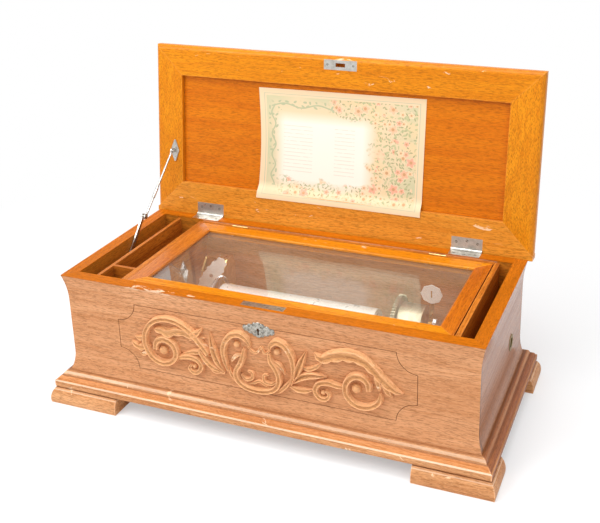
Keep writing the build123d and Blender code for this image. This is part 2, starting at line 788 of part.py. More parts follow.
def tune_sheet():
    """Printed card on the lower member and the panel, slightly bent."""
    foot = pin_y - sheet_from_hinge
    edge = lid_shift + lid_half_d - lid_frame_width
    head = lid_shift - lid_half_d + lid_frame_width + sheet_margin
    low = lid_inner
    line = [(foot, low), (edge, low), (edge - sheet_bend, low + lid_panel_recess),
            (head, low + lid_panel_recess)]
    back = [(y, z - sheet_thickness) for y, z in line]
    card = outline(*line, *reversed(back))
    return opened(plate_yz(card, sheet_x - sheet_width / 2, sheet_width))


# ---- lid stay ---------------------------------------------------------------
def stay_eye():
    """Y and Z of the rod's eye on the open lid."""
    turn = radians(lid_open)
    y = stay_shut_y - pin_y
    z = stay_shut_z - pin_z
    return pin_y + y * cos(turn) + z * sin(turn), pin_z - y * sin(turn) + z * cos(turn)


def stay_bracket():
    """Plate on the left stile with an ear and the pin for the rod's eye."""
    across = bracket_width / 2 - 1.5
    along = bracket_height / 2 - 1.5
    low = lid_inner - bracket_plate
    diamond = outline((bracket_x - across, stay_shut_y), (bracket_x, stay_shut_y + along),
                      (bracket_x + across, stay_shut_y), (bracket_x, stay_shut_y - along))
    base = Pos(0, 0, low) * extrude(offset(diamond, 1.5), bracket_plate)
    near = bracket_x - bracket_plate / 2
    far = bracket_x + bracket_plate / 2
    ear = block(near, far, stay_shut_y - stay_ear / 2, stay_shut_y + stay_ear / 2, stay_shut_z, low + 0.1)
    ear += rod_x(near, far, stay_shut_y, stay_shut_z, stay_ear / 2)
    pin = rod_x(stay_rod_x - stay_plate / 2 - 0.6, far, stay_shut_y, stay_shut_z, stay_pin)
    return opened(base + ear + pin)


def link(x, start, end, radius, thickness, width):
    """A flat link with round eyes, from one point to another."""
    length = hypot(end[0] - start[0], end[1] - start[1])
    angle = degrees(atan2(end[1] - start[1], end[0] - start[0]))
    face = disc(0, 0, radius) + disc(length, 0, radius) + Pos(length / 2, 0) * Rectangle(length, width)
    return plate_yz(Pos(*start) * Rot(0, 0, angle) * face, x - thickness / 2, thickness)


def stay_lever():
    """Flat lever on the left wall, the stay's lower link."""
    pivot = (stay_pivot_y, stay_pivot_z)
    elbow = (stay_elbow_y, stay_elbow_z)
    lever = link(stay_lever_x, pivot, elbow, stay_boss, stay_plate, stay_plate * 2.6)
    face = stay_lever_x + stay_plate / 2
    lever += rod_x(face, face + stay_gap - touch, *elbow, stay_pin)
    return lever - rod_x(stay_lever_x - stay_plate, face + 1, *pivot, stay_pin + running)


def stay_rod():
    """Round rod of the stay, with eyes at both ends and a thicker grip."""
    start = stay_eye()
    end = (stay_elbow_y, stay_elbow_z)
    length = hypot(end[0] - start[0], end[1] - start[1])
    rod = link(stay_rod_x, start, end, stay_boss, stay_plate, stay_plate)
    line = Plane((stay_rod_x, *start), z_dir=(0, end[0] - start[0], end[1] - start[1])).location
    rod += line * Pos(0, 0, length / 2) * Cylinder(stay_round, length - 3 * stay_boss)
    rod += line * Pos(0, 0, length * 0.65) * Cylinder(stay_grip, length * 0.14)
    face = stay_rod_x + stay_plate / 2
    rod += rod_x(face, face + screw_rise, *end, stay_pin + 1)
    return rod - rod_x(stay_rod_x - stay_plate, face + 1, *start, stay_pin + running)


# ---- glass lid ----------------------------------------------------------------
def glass_member(turn):
    """One mitred member of the glass lid's frame, rebated for the pane."""
    half_x = (glass_right - glass_left) / 2
    half_y = (glass_back - glass_front) / 2
    top = glass_lid_thickness
    rebate = glass_lid_thickness - pane_cover
    bevel = 1.5
    section = outline((-glass_frame_width + pane_seat, 0), (0, 0), (0, top),
                      (-glass_frame_width + bevel, top), (-glass_frame_width, top - bevel),
                      (-glass_frame_width, rebate), (-glass_frame_width + pane_seat, rebate))
    along_x = turn in (0, 180)
    run = half_x if along_x else half_y
    gap = half_y if along_x else half_x
    middle = Pos((glass_left + glass_right) / 2, (glass_front + glass_back) / 2, glass_bottom)
    return middle * moulding(section, run, gap, turn)


def glass_pane():
    """Sheet of glass in the rebate of its frame."""
    near = glass_frame_width - pane_seat
    top = glass_top - pane_cover
    return block(glass_left + near, glass_right - near, glass_front + near, glass_back - near,
                 top - pane_thickness, top)


# ---- movement -----------------------------------------------------------------
def gear_face(teeth, module, phase, pressure=20, fine=False):
    """Involute gear outline with one tooth centred at the phase angle."""
    pitch = teeth * module / 2
    base = pitch * cos(radians(pressure))
    tip = pitch + 0.85 * module
    root = pitch - 1.2 * module
    half_pitch = pi / (2 * teeth) - backlash / (4 * pitch)
    flat = tan(radians(pressure)) - radians(pressure)

    def half_width(radius):
        if radius <= base:
            return half_pitch + flat
        roll = sqrt((radius / base) ** 2 - 1)
        return half_pitch + flat - (roll - atan2(roll, 1))

    radii = [root, pitch, tip] if fine else [root, tip]
    points = []
    for tooth in range(teeth):
        centre = radians(phase) + 2 * pi * tooth / teeth
        flank = [(radius, half_width(radius)) for radius in radii]
        for radius, half in flank:
            points.append((radius * cos(centre - half), radius * sin(centre - half)))
        for radius, half in reversed(flank):
            points.append((radius * cos(centre + half), radius * sin(centre + half)))
    return outline(*points)


def wheel_x(face, x, y, z, thickness):
    """Extrude a wheel's face along X about its arbor."""
    return plate_yz(Pos(y, z) * face, x, thickness)


def spoked(face, rim, hub, spokes, width):
    """Cut windows in a wheel's face between its spokes."""
    web = Circle(rim) - Circle(hub)
    for index in range(spokes):
        web -= Rot(0, 0, 360 * index / spokes) * Pos((rim + hub) / 2, 0) * Rectangle(2 * rim, width)
    return face - web


def bedplate():
    """Cast bedplate with four pads that stand on the bottom board."""
    plate = block(bed_left, bed_right, bed_front, bed_back, bed_height, bed_top)
    plate = fillet(plate.edges().filter_by(Axis.Z), bed_corner)
    for x in (bed_left + bed_pad, bed_right - bed_pad):
        for y in (bed_front + bed_pad, bed_back - bed_pad):
            plate += block(x - bed_pad / 2, x + bed_pad / 2, y - bed_pad / 2, y + bed_pad / 2,
                           floor_z, bed_height)
    return plate + lever_block()


def lever_block():
    """Cast ears on the bedplate that carry the two levers' pivot."""
    ears = []
    for x in lever_ears():
        ear = block(x, x + lever_ear, lever_y - 7, lever_y + 7, bed_top - 0.5, lever_z)
        ear += rod_x(x, x + lever_ear, lever_y, lever_z, 7)
        ears.append(ear)
    joined = ears[0] + ears[1] + ears[2]
    return joined + rod_x(lever_x, lever_x + 3 * lever_ear + 2 * lever_gap, lever_y, lever_z, lever_pin)


def lever_ears():
    """Low X of the three ears."""
    return [lever_x + index * (lever_ear + lever_gap) for index in range(3)]


def hand_lever(index, lean):
    """A lever with a round knob, pivoted between two ears."""
    x = lever_x + lever_ear + index * (lever_ear + lever_gap) + (lever_gap - lever_plate) / 2
    top_y = lever_y + lever_height * sin(radians(lean))
    top_z = lever_z + lever_height * cos(radians(lean))
    arm = link(x + lever_plate / 2, (lever_y, lever_z), (top_y, top_z), 5.5, lever_plate, 5)
    knob = Pos(x + lever_plate / 2, top_y, top_z + 3) * Cylinder(lever_knob, 2 * lever_knob)
    return arm + knob - rod_x(x - 5, x + 10, lever_y, lever_z, lever_pin + running)


def upright(y, z, width, hub):
    """Tapered upright from the bedplate to a bearing."""
    return outline((y - width / 2, bed_top), (y + width / 2, bed_top), (y + hub, z), (y - hub, z)) \
        + disc(y, z, hub)


def cylinder_standards():
    """Bearing standards at both ends of the cylinder."""
    left = upright(cylinder_y, cylinder_z, standard_foot, standard_hub)
    right = left + upright(barrel_y, barrel_z, standard_foot * 0.85, standard_hub)
    left -= disc(cylinder_y, cylinder_z, arbor_radius + running)
    right += Pos((cylinder_y + barrel_y) / 2, bed_top + 5) * Rectangle(barrel_y - cylinder_y, 10)
    right -= disc(cylinder_y, cylinder_z, arbor_radius + running)
    right -= disc(barrel_y, barrel_z, winding_radius + running)
    return [plate_yz(left, left_standard_x, standard_thickness),
            plate_yz(right, right_standard_x, standard_thickness)]


def spring_standard():
    """Outer bearing of the spring barrel, with the arm for the plate."""
    face = upright(barrel_y, barrel_z, standard_foot, standard_hub)
    near = crest_y - arm_width
    face += outline((barrel_y, barrel_z), (crest_y, barrel_z), (crest_y, crest_z + crest_height / 4),
                    (near, crest_z + crest_height / 4), (near, barrel_z + arm_rise))
    face -= disc(barrel_y, barrel_z, winding_radius + running)
    return plate_yz(face, outer_standard_x, standard_thickness)


def spring_plate():
    """Octagonal nickelled plate with a slot, on the standard's arm."""
    face = RegularPolygon(crest_width / 2, 8)
    face = scale(face, (1, crest_height / crest_width, 1))
    for index in range(8):
        angle = radians(45 * index + 22.5)
        face -= disc(crest_width * 0.52 * cos(angle), crest_height * 0.52 * sin(angle), 2.2)
    face -= Rectangle(2.4, crest_height * 0.4)
    x = outer_standard_x + standard_thickness / 2
    return plate_xz(Pos(x, crest_z) * face, crest_y - arm_width, crest_plate)


def comb():
    """Steel comb: teeth cut in one plate, the bass ones longest."""
    pitch = comb_length / comb_teeth
    left = cylinder_x - comb_length / 2
    points = [(left, comb_root_y - comb_plate_depth), (left, comb_root_y)]
    for index in range(comb_teeth):
        low = left + index * pitch
        share = index / (comb_teeth - 1)
        root = comb_root_y + comb_taper * share
        taper = comb_slot * 0.7
        if index:
            points.append((low + comb_slot / 2, root))
        points.append((low + comb_slot / 2 + taper, comb_tip_y))
        points.append((low + pitch - comb_slot / 2 - taper, comb_tip_y))
        if index < comb_teeth - 1:
            points.append((low + pitch - comb_slot / 2, root))
    right = left + comb_length
    points.append((right, comb_root_y + comb_taper))
    points.append((right, comb_root_y - comb_plate_depth))
    return Pos(0, 0, comb_top_z - comb_thickness) * extrude(outline(*points), comb_thickness)


def comb_base():
    """Casting under the comb, hollow behind its foot."""
    back = comb_root_y
    front = comb_root_y - comb_plate_depth
    top = comb_top_z - comb_thickness
    face = outline((front - 4, bed_top), (back - 6, bed_top), (back - 6, bed_top + 8),
                   (back - 14, bed_top + 14), (back - 10, top - 12), (back, top - 6), (back, top),
                   (front, top), (front, top - 8))
    return plate_yz(face, cylinder_x - comb_length / 2, comb_length)


def cylinder_drum():
    """Brass cylinder: a tube closed by two end discs."""
    drum = rod_x(cylinder_left, cylinder_right, cylinder_y, cylinder_z, cylinder_radius)
    hollow = rod_x(cylinder_left + drum_wall, cylinder_right - drum_wall, cylinder_y, cylinder_z,
                   cylinder_radius - drum_wall)
    bore = rod_x(cylinder_left - 1, cylinder_right + 1, cylinder_y, cylinder_z, arbor_radius)
    return drum - hollow - bore


def cylinder_arbor():
    """Cylinder's arbor with its driven pinion and the governor's great wheel."""
    high = drive_x + gear_width + 1
    arbor = rod_x(left_standard_x - 2, high, cylinder_y, cylinder_z, arbor_radius)
    pinion = gear_face(pinion_teeth, drive_module, drive_angle + 180 / pinion_teeth, fine=True)
    face = gear_face(great_teeth, governor_module, 0, pressure=25)
    face = spoked(face, great_teeth * governor_module / 2 - 5, arbor_radius + 5, 5, 4)
    great = wheel_x(face, great_x, cylinder_y, cylinder_z, gear_width / 2)
    return arbor + great + wheel_x(pinion, drive_x, cylinder_y, cylinder_z, gear_width)


def spring_barrel():
    """Mainspring barrel with its toothed wheel; the spring is shut inside."""
    barrel = rod_x(barrel_x, barrel_x + barrel_length, barrel_y, barrel_z, barrel_radius)
    face = gear_face(barrel_teeth, drive_module, drive_angle + 180)
    wheel = wheel_x(face, drive_x, barrel_y, barrel_z, gear_width)
    collar = rod_x(drive_x, barrel_x + 1, barrel_y, barrel_z, winding_radius + 6)
    bore = rod_x(drive_x - 1, outer_standard_x, barrel_y, barrel_z, winding_radius + running)
    return barrel + wheel + collar - bore


def winding_arbor():
    """Arbor of the mainspring, ending in the square that the crank takes."""
    arbor = rod_x(right_standard_x - 2, square_x, barrel_y, barrel_z, winding_radius)
    half = winding_square / 2
    square = block(square_x - 1, right_partition_x + square_reach, barrel_y - half, barrel_y + half,
                   barrel_z - half, barrel_z + half)
    return arbor + square


def ratchet_wheel():
    """Ratchet on the winding arbor."""
    points = []
    for tooth in range(ratchet_teeth):
        angle = 2 * pi * tooth / ratchet_teeth
        points.append((ratchet_radius * cos(angle), ratchet_radius * sin(angle)))
        angle += 2 * pi / ratchet_teeth * 0.92
        inner = ratchet_radius - 3
        points.append((inner * cos(angle), inner * sin(angle)))
    face = outline(*points) - Circle(winding_radius)
    return wheel_x(face, ratchet_x, barrel_y, barrel_z, ratchet_thickness)


def click():
    """Pawl under the ratchet, on a stud of the outer standard."""
    tip_y = barrel_y - ratchet_radius * 0.95
    tip_z = barrel_z - ratchet_radius * 0.6
    face = outline((click_y - click_boss, click_z), (click_y + click_boss, click_z), (tip_y + 6, tip_z - 2),
                   (tip_y, tip_z + 2))
    face += disc(click_y, click_z, click_boss)
    face -= disc(barrel_y, barrel_z, ratchet_radius + click_gap)
    face -= disc(click_y, click_z, click_pin + running)
    return plate_yz(face, ratchet_x, ratchet_thickness)


def governor_frame():
    """Two side plates, foot and cross bars that hold the governor's train."""
    high = left_standard_x + standard_thickness
    back = worm_y + fly_radius
    side = outline((governor_front, bed_top), (back, bed_top), (back, governor_top),
                   (worm_y - fly_radius, governor_top), (governor_front, leaf_z + 4))
    side -= disc(governor_y, governor_z, governor_arbor + running)
    frame = plate_yz(side, governor_left, governor_side)
    frame += plate_yz(side, high - governor_side, governor_side)
    frame += block(governor_left, high, governor_front, back, bed_top, bed_top + 4)
    frame += block(governor_left, high, worm_y - 8, worm_y + 8, governor_top - 4, governor_top)
    frame += block(governor_left, high, governor_front, governor_front + 4, leaf_z - 3, leaf_z + 4)
    return frame - rod_z(bed_top + 1, governor_top + 1, worm_x, worm_y, worm_arbor + running)


def governor_plate():
    """Leaf-shaped nickelled plate on the front of the governor."""
    leaf = Ellipse(leaf_length / 2, leaf_width / 2)
    for index in range(6):
        share = index / 5 - 0.5
        aside = leaf_width * 0.43 * sqrt(1 - (1.7 * share) ** 2)
        for side in (-1, 1):
            leaf += disc(share * leaf_length * 0.86, side * aside, leaf_lobe)
    face = Pos(worm_x, leaf_z) * Rot(0, 0, leaf_angle) * leaf
    return plate_xz(face, governor_front, leaf_plate)


def governor_wheel():
    """Governor's arbor: pinion in the great wheel, and the screw's wheel."""
    high = great_x + gear_width
    arbor = rod_x(governor_left - 1, high, governor_y, governor_z, governor_arbor)
    pinion = gear_face(governor_teeth, governor_module, 180 + 180 / governor_teeth, pressure=25,
                       fine=True)
    wheel = gear_face(worm_teeth, worm_module, 90)
    return arbor + wheel_x(pinion, great_x - 1, governor_y, governor_z, gear_width / 2 + 2) \
        + wheel_x(wheel, worm_x - worm_wheel / 2, governor_y, governor_z, worm_wheel)


def governor_fly():
    """Upright screw arbor with the two blades of the air brake."""
    arbor = rod_z(bed_top + 1.5, governor_top + 0.5, worm_x, worm_y, worm_arbor)
    screw = rod_z(governor_z - 14, governor_z + 14, worm_x, worm_y, worm_root)
    hub = rod_z(fly_low, fly_low + fly_height, worm_x, worm_y, worm_arbor + 1.2)
    blades = block(worm_x - fly_radius, worm_x + fly_radius, worm_y - 0.5, worm_y + 0.5,
                   fly_low, fly_low + fly_height)
    return arbor + screw + hub + blades


# ---- small fasteners -------------------------------------------------------
def screw_head(x, y, z, direction, radius):
    """A low round head seated on a face."""
    head = extrude(RegularPolygon(radius, 12), screw_rise)
    return Plane((x, y, z), z_dir=direction).location * head


def stud(x0, x1, y, z, radius):
    """A stud along X with a low head."""
    return rod_x(x0, x1, y, z, radius) + rod_x(x1, x1 + screw_rise / 2, y, z, radius + 0.8)


def case_screws():
    """Comb screws, studs of the stay and the click, screw of the leaf-shaped plate."""
    heads = []
    middle = comb_root_y - comb_plate_depth / 2
    for index in range(7):
        place = cylinder_x + comb_length * ((index + 0.5) / 7 - 0.5)
        heads.append(screw_head(place, middle, comb_top_z, (0, 0, 1), 3.5))
    heads.append(screw_head(worm_x, governor_front - leaf_plate, leaf_z, (0, -1, 0), 3.2))
    lever_face = stay_lever_x + stay_plate / 2
    heads.append(stud(-inner_x, lever_face + touch, stay_pivot_y, stay_pivot_z, stay_pin))
    click_face = ratchet_x + ratchet_thickness
    outer_face = outer_standard_x + standard_thickness
    heads.append(stud(outer_face, click_face + touch, click_y, click_z, click_pin))
    return heads


def lid_screws():
    """Screws of the stay's bracket."""
    heads = []
    for side in (-1, 1):
        place = stay_shut_y + side * bracket_height * 0.33
        heads.append(screw_head(bracket_x, place, lid_inner - bracket_plate, (0, 0, -1), 1.6))
    return opened(heads)


pieces = {
    "case_front": case_front,
    "case_back": case_back,
    "case_left": lambda: case_side(270),
    "case_right": case_right,
    "bottom_board": bottom_board,
    "plinth_front": lambda: plinth(0),
    "plinth_right": lambda: plinth(90),
    "plinth_back": lambda: plinth(180),
    "plinth_left": lambda: plinth(270),
    "feet": feet,
    "left_divider": left_divider,
    "cross_divider": cross_divider,
    "left_partition": left_partition,
    "right_partition": right_partition,
    "rear_rail": rear_rail,
    "glass_lid_ledges": glass_lid_ledges,
    "front_carving": front_carving,
    "lock_case": lock_case,
    "lock_bolt": lock_bolt,
    "keyhole_escutcheon": keyhole_escutcheon,
    "crank_bush": crank_bush,
    "case_hinge_leaves": case_hinge_leaves,
    "lid_hinge_leaves": lambda: opened(lid_hinge_leaves()),
    "rail_hinge_leaves": lambda: small_hinges(True),
    "glass_hinge_leaves": lambda: small_hinges(False),
    "lid_rail_front": lid_rail_front,
    "lid_rail_back": lid_rail_back,
    "lid_stile_right": lambda: opened(lid_member(90)),
    "lid_stile_left": lambda: opened(lid_member(270)),
    "lid_panel": lid_panel,
    "strike_plate": strike_plate,
    "tune_sheet": tune_sheet,
    "stay_bracket": stay_bracket,
    "stay_lever": stay_lever,
    "stay_rod": stay_rod,
    "glass_rail_front": lambda: glass_member(0),
    "glass_stile_right": lambda: glass_member(90),
    "glass_rail_back": lambda: glass_member(180),
    "glass_stile_left": lambda: glass_member(270),
    "glass_pane": glass_pane,
    "bedplate": bedplate,
    "cylinder_standards": cylinder_standards,
    "spring_standard": spring_standard,
    "spring_plate": spring_plate,
    "comb": comb,
    "comb_base": comb_base,
    "cylinder_drum": cylinder_drum,
    "cylinder_arbor": cylinder_arbor,
    "spring_barrel": spring_barrel,
    "winding_arbor": winding_arbor,
    "ratchet_wheel": ratchet_wheel,
    "click": click,
    "governor_frame": governor_frame,
    "governor_plate": governor_plate,
    "governor_wheel": governor_wheel,
    "governor_fly": governor_fly,
    "start_lever": lambda: hand_lever(0, -lever_swing / 2),
    "change_lever": lambda: hand_lever(1, -lever_swing / 2),
    "case_screws": case_screws,
    "lid_screws": lid_screws,
}

os.makedirs("parts", exist_ok=True)
for name, make in pieces.items():
    made = make()
    if isinstance(made, list):
        made = Compound(children=[solid for shape in made for solid in shape.solids()])
    export_step(made, os.path.join("parts", name + ".step"))
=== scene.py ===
import json
import math
import random

import bmesh
import bpy
from mathutils import Matrix, Vector


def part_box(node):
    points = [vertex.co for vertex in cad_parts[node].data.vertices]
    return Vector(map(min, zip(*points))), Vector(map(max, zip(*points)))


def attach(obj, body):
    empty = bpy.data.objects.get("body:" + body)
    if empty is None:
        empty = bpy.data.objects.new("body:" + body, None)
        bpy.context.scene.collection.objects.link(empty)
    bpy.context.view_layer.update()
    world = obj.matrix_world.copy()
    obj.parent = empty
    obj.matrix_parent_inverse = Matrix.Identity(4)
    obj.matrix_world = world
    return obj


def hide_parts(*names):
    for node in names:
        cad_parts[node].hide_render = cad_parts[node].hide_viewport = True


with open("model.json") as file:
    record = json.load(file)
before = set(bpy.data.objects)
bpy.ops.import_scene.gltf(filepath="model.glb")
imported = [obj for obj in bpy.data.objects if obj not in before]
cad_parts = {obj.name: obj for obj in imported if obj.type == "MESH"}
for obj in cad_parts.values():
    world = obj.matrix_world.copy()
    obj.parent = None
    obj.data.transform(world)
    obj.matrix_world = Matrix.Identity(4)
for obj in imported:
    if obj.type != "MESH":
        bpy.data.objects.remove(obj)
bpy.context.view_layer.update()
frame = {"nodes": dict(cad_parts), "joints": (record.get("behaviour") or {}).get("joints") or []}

bl_info = {
    "name": "Cylinder music box",
    "version": (1, 0, 0),
    "blender": (4, 5, 0),
    "location": "View3D > Sidebar > Music box",
    "description": "Dresses an oak music box: carving, hardware, card, movement and finishes",
    "category": "Object",
}

MM = 0.001
NODES = frame["nodes"]
JOINTS = {joint["name"]: joint for joint in frame["joints"]}
FRONT_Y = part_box("front_carving")[1].y
LID_PIN = Vector(JOINTS["lid_hinge"]["pos_m"])
LID_ANGLE = math.radians(-JOINTS["lid_hinge"]["range_deg"][0])

# where a wall's colour changes, in metres
RIM_Z = 0.209
INSIDE_X, INSIDE_Y = 0.3053, (-0.1224, 0.1244)
GLASS_LID_X, BAYS_BEYOND = 0.0257, 0.255
GROOVE_Y, GROOVE_TOP = (-0.1356, -0.1305), 0.1795
KNOCKS_X = -0.15


# ---- small helpers ----
def deselect():
    """Leave nothing selected and nothing active."""
    bpy.ops.object.select_all(action="DESELECT")
    bpy.context.view_layer.objects.active = None


def pick(piece):
    """Select one object only and make it active."""
    deselect()
    piece.select_set(True)
    bpy.context.view_layer.objects.active = piece


def settle(piece, name):
    """Name a piece and apply its place, so that it sits at the origin."""
    pick(piece)
    piece.name = name
    bpy.ops.object.transform_apply(location=True, rotation=True, scale=True)
    return piece


def add_box(name, low, high):
    """A box between two corners in millimetres."""
    deselect()
    middle = [(a + b) / 2 * MM for a, b in zip(low, high)]
    bpy.ops.mesh.primitive_cube_add(size=1, location=middle)
    piece = bpy.context.object
    piece.scale = [(b - a) * MM for a, b in zip(low, high)]
    return settle(piece, name)


def add_rod(name, centre, radius, length, axis, sides=20):
    """A round rod along Y or Z, centred at a point in millimetres."""
    deselect()
    turn = {"Y": (math.pi / 2, 0, 0), "Z": (0, 0, 0)}[axis]
    bpy.ops.mesh.primitive_cylinder_add(vertices=sides, radius=radius * MM, depth=length * MM,
                                        location=[c * MM for c in centre], rotation=turn)
    return settle(bpy.context.object, name)


def apply_modifier(piece, kind, **values):
    """Add a modifier with these values and apply it."""
    pick(piece)
    modifier = piece.modifiers.new(kind.title(), kind)
    for key, value in values.items():
        setattr(modifier, key, value)
    bpy.ops.object.modifier_apply(modifier=modifier.name)


def cut(piece, cutter):
    """Take a cutter's shape out of a piece, and drop the cutter."""
    apply_modifier(piece, "BOOLEAN", operation="DIFFERENCE", object=cutter, solver="EXACT")
    bpy.data.objects.remove(cutter)


def smooth(piece, angle):
    """Shade smooth where faces meet at less than an angle in degrees."""
    pick(piece)
    bpy.ops.object.shade_smooth_by_angle(angle=math.radians(angle))


def join(name, pieces):
    """Join pieces into one object."""
    deselect()
    for piece in pieces:
        piece.select_set(True)
    bpy.context.view_layer.objects.active = pieces[0]
    bpy.ops.object.join()
    piece = bpy.context.object
    piece.name = name
    piece.data.name = name
    return piece


def mesh_piece(name, points, faces):
    """A new object from points in metres and faces."""
    mesh = bpy.data.meshes.new(name)
    mesh.from_pydata(points, [], faces)
    mesh.validate()
    piece = bpy.data.objects.new(name, mesh)
    bpy.context.scene.collection.objects.link(piece)
    return piece


def skin(name, rings):
    """A closed surface through rings of points, its ends capped, facing outwards."""
    size = len(rings[0])
    points = [spot for ring in rings for spot in ring]
    last = len(points) - size
    faces = [(start + index, start + (index + 1) % size,
              start + (index + 1) % size + size, start + index + size)
             for start in range(0, last, size) for index in range(size)]
    faces += [tuple(range(size)), tuple(range(last, last + size))]
    piece = mesh_piece(name, points, faces)
    shape = bmesh.new()
    shape.from_mesh(piece.data)
    bmesh.ops.remove_doubles(shape, verts=shape.verts, dist=1e-6)
    bmesh.ops.recalc_face_normals(shape, faces=shape.faces)
    shape.to_mesh(piece.data)
    shape.free()
    return piece


def give(piece, material, body):
    """Finish a piece: its material and its body."""
    piece.data.materials.clear()
    piece.data.materials.append(material)
    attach(piece, body)
    return piece


def opened(y, z):
    """Where a point of the closed lid, in millimetres, lies with the lid open."""
    pin_y, pin_z = LID_PIN.y / MM, LID_PIN.z / MM
    y, z = y - pin_y, z - pin_z
    return (pin_y + y * math.cos(LID_ANGLE) + z * math.sin(LID_ANGLE),
            pin_z - y * math.sin(LID_ANGLE) + z * math.cos(LID_ANGLE))


# ---- materials ----
class Tree:
    """The nodes of a new material or world, and short ways to add and link them."""

    def __init__(self, name, owners="materials", shader="Principled BSDF", output="Material Output"):
        self.owner = getattr(bpy.data, owners).new(name)
        self.owner.use_nodes = True
        self.nodes = self.owner.node_tree.nodes
        self.links = self.owner.node_tree.links
        self.shader, self.output = self.nodes[shader], self.nodes[output]
        self.colour = None

    def add(self, kind, inputs=None, **values):
        """Add a node, set its properties and feed its inputs."""
        node = self.nodes.new(kind)
        for key, value in values.items():
            setattr(node, key, value)
        for key, value in (inputs or {}).items():
            self.feed(node.inputs[key], value)
        return node

    def feed(self, socket, value):
        """Link a node's output, or set a plain value."""
        if isinstance(value, bpy.types.NodeSocket):
            self.links.new(value, socket)
        elif isinstance(value, bpy.types.Node):
            self.links.new(value.outputs[0], socket)
        else:
            socket.default_value = value

    def shade(self, inputs):
        """Feed the shader's inputs."""
        for key, value in inputs.items():
            self.feed(self.shader.inputs[key], value)

    def show(self, share, first, second):
        """Send a mix of two shaders to the output."""
        mixed = self.add("ShaderNodeMixShader", {0: share, 1: first, 2: second})
        self.feed(self.output.inputs["Surface"], mixed)

    def coords(self, scale=(1, 1, 1), turn=(0, 0, 0)):
        """Object coordinates, turned and then scaled."""
        place = self.add("ShaderNodeTexCoord")
        turned = self.add("ShaderNodeMapping", {"Vector": place.outputs["Object"], "Rotation": turn})
        return self.add("ShaderNodeMapping", {"Vector": turned, "Scale": scale})

    def noise(self, vector, scale=1.0, detail=2.0, rough=0.5, distortion=0.0):
        """A noise texture's value."""
        node = self.add("ShaderNodeTexNoise", {"Vector": vector, "Scale": scale, "Detail": detail,
                                               "Roughness": rough, "Distortion": distortion})
        return node.outputs["Fac"]

    def band(self, value, low, high, to_low=0.0, to_high=1.0):
        """Map a range of a value to another, clamped."""
        node = self.add("ShaderNodeMapRange", {"Value": value, "From Min": low, "From Max": high,
                                               "To Min": to_low, "To Max": to_high})
        return node.outputs["Result"]

    def calc(self, operation, first, *others):
        """One kind of sum on a value and, in turn, on the others."""
        for other in others or (0.0,):
            node = self.add("ShaderNodeMath", operation=operation)
            self.feed(node.inputs[0], first)
            self.feed(node.inputs[1], other)
            first = node.outputs[0]
        return first

    def all_of(self, *shares):
        """Shares multiplied together."""
        return self.calc("MULTIPLY", *shares)

    def any_of(self, *shares):
        """The greatest of several shares."""
        return self.calc("MAXIMUM", *shares)

    def near(self, value, middle, reach, soft=0.01, full=1.0):
        """Full within a reach of a middle, falling to zero over a soft edge."""
        apart = self.calc("ABSOLUTE", self.calc("SUBTRACT", value, middle))
        return self.band(apart, reach + soft, reach, 0.0, full)

    def above(self, value, level, soft):
        """One above a level and zero below it."""
        return self.band(value, level - soft, level + soft)

    def below(self, value, level, soft):
        """One below a level and zero above it."""
        return self.band(value, level + soft, level - soft)

    def mix(self, share, first, second):
        """Mix two colours."""
        node = self.add("ShaderNodeMix", data_type="RGBA", blend_type="MIX")
        self.feed(node.inputs[0], share)
        self.feed(node.inputs[6], first)
        self.feed(node.inputs[7], second)
        return node.outputs[2]

    def paint(self, share, colour):
        """Lay a share of a colour over the tree's own."""
        self.colour = self.mix(share, self.colour, colour)

    def bump(self, height, strength, distance):
        """Feed a bump into the shader's normal."""
        self.shade({"Normal": self.add("ShaderNodeBump", {"Height": height, "Strength": strength,
                                                          "Distance": distance})})


def grey(value):
    """A neutral colour."""
    return (value, value, value, 1.0)


def darker(colour, share):
    """A colour at a share of its brightness."""
    return [c * share for c in colour[:3]] + [1.0]


def wall_shades(tree, place, rim, bay, shades):
    """A wall's three shades, changed inside the end bays and on the varnished rim."""
    beyond = tree.calc("ABSOLUTE", tree.calc("SUBTRACT", place["X"], GLASS_LID_X))
    inside = tree.all_of(tree.above(beyond, BAYS_BEYOND, 0.001),
                         tree.below(tree.calc("ABSOLUTE", place["X"]), INSIDE_X, 0.0001),
                         tree.above(place["Y"], INSIDE_Y[0], 0.0002),
                         tree.below(place["Y"], INSIDE_Y[1], 0.0002))
    for share, colour in ((inside, bay), (tree.above(place["Z"], RIM_Z, 0.0004), rim)):
        shades = [tree.mix(share, shade, darker(colour, part))
                  for shade, part in zip(shades, (1.0, 0.6, 0.3))]
    return shades


def mark_wall(tree, place, dents):
    """Paint a wall's dark incised lines, and pale knocks on the rim left of the lock."""
    groove = tree.all_of(tree.above(place["Y"], GROOVE_Y[0], 0.0002),
                         tree.below(place["Y"], GROOVE_Y[1], 0.0005),
                         tree.below(place["Z"], GROOVE_TOP, 0.0005), 0.85)
    tree.paint(groove, (0.16, 0.06, 0.02, 1))
    knocks = tree.all_of(tree.band(dents, 0.55, 0.60), tree.near(place["X"], KNOCKS_X, 0.05, 0.025),
                         tree.band(place["Y"], -0.131, -0.136),
                         tree.band(place["Z"], 0.205, 0.208, 0.0, 0.65))
    tree.paint(knocks, (0.88, 0.68, 0.48, 1))


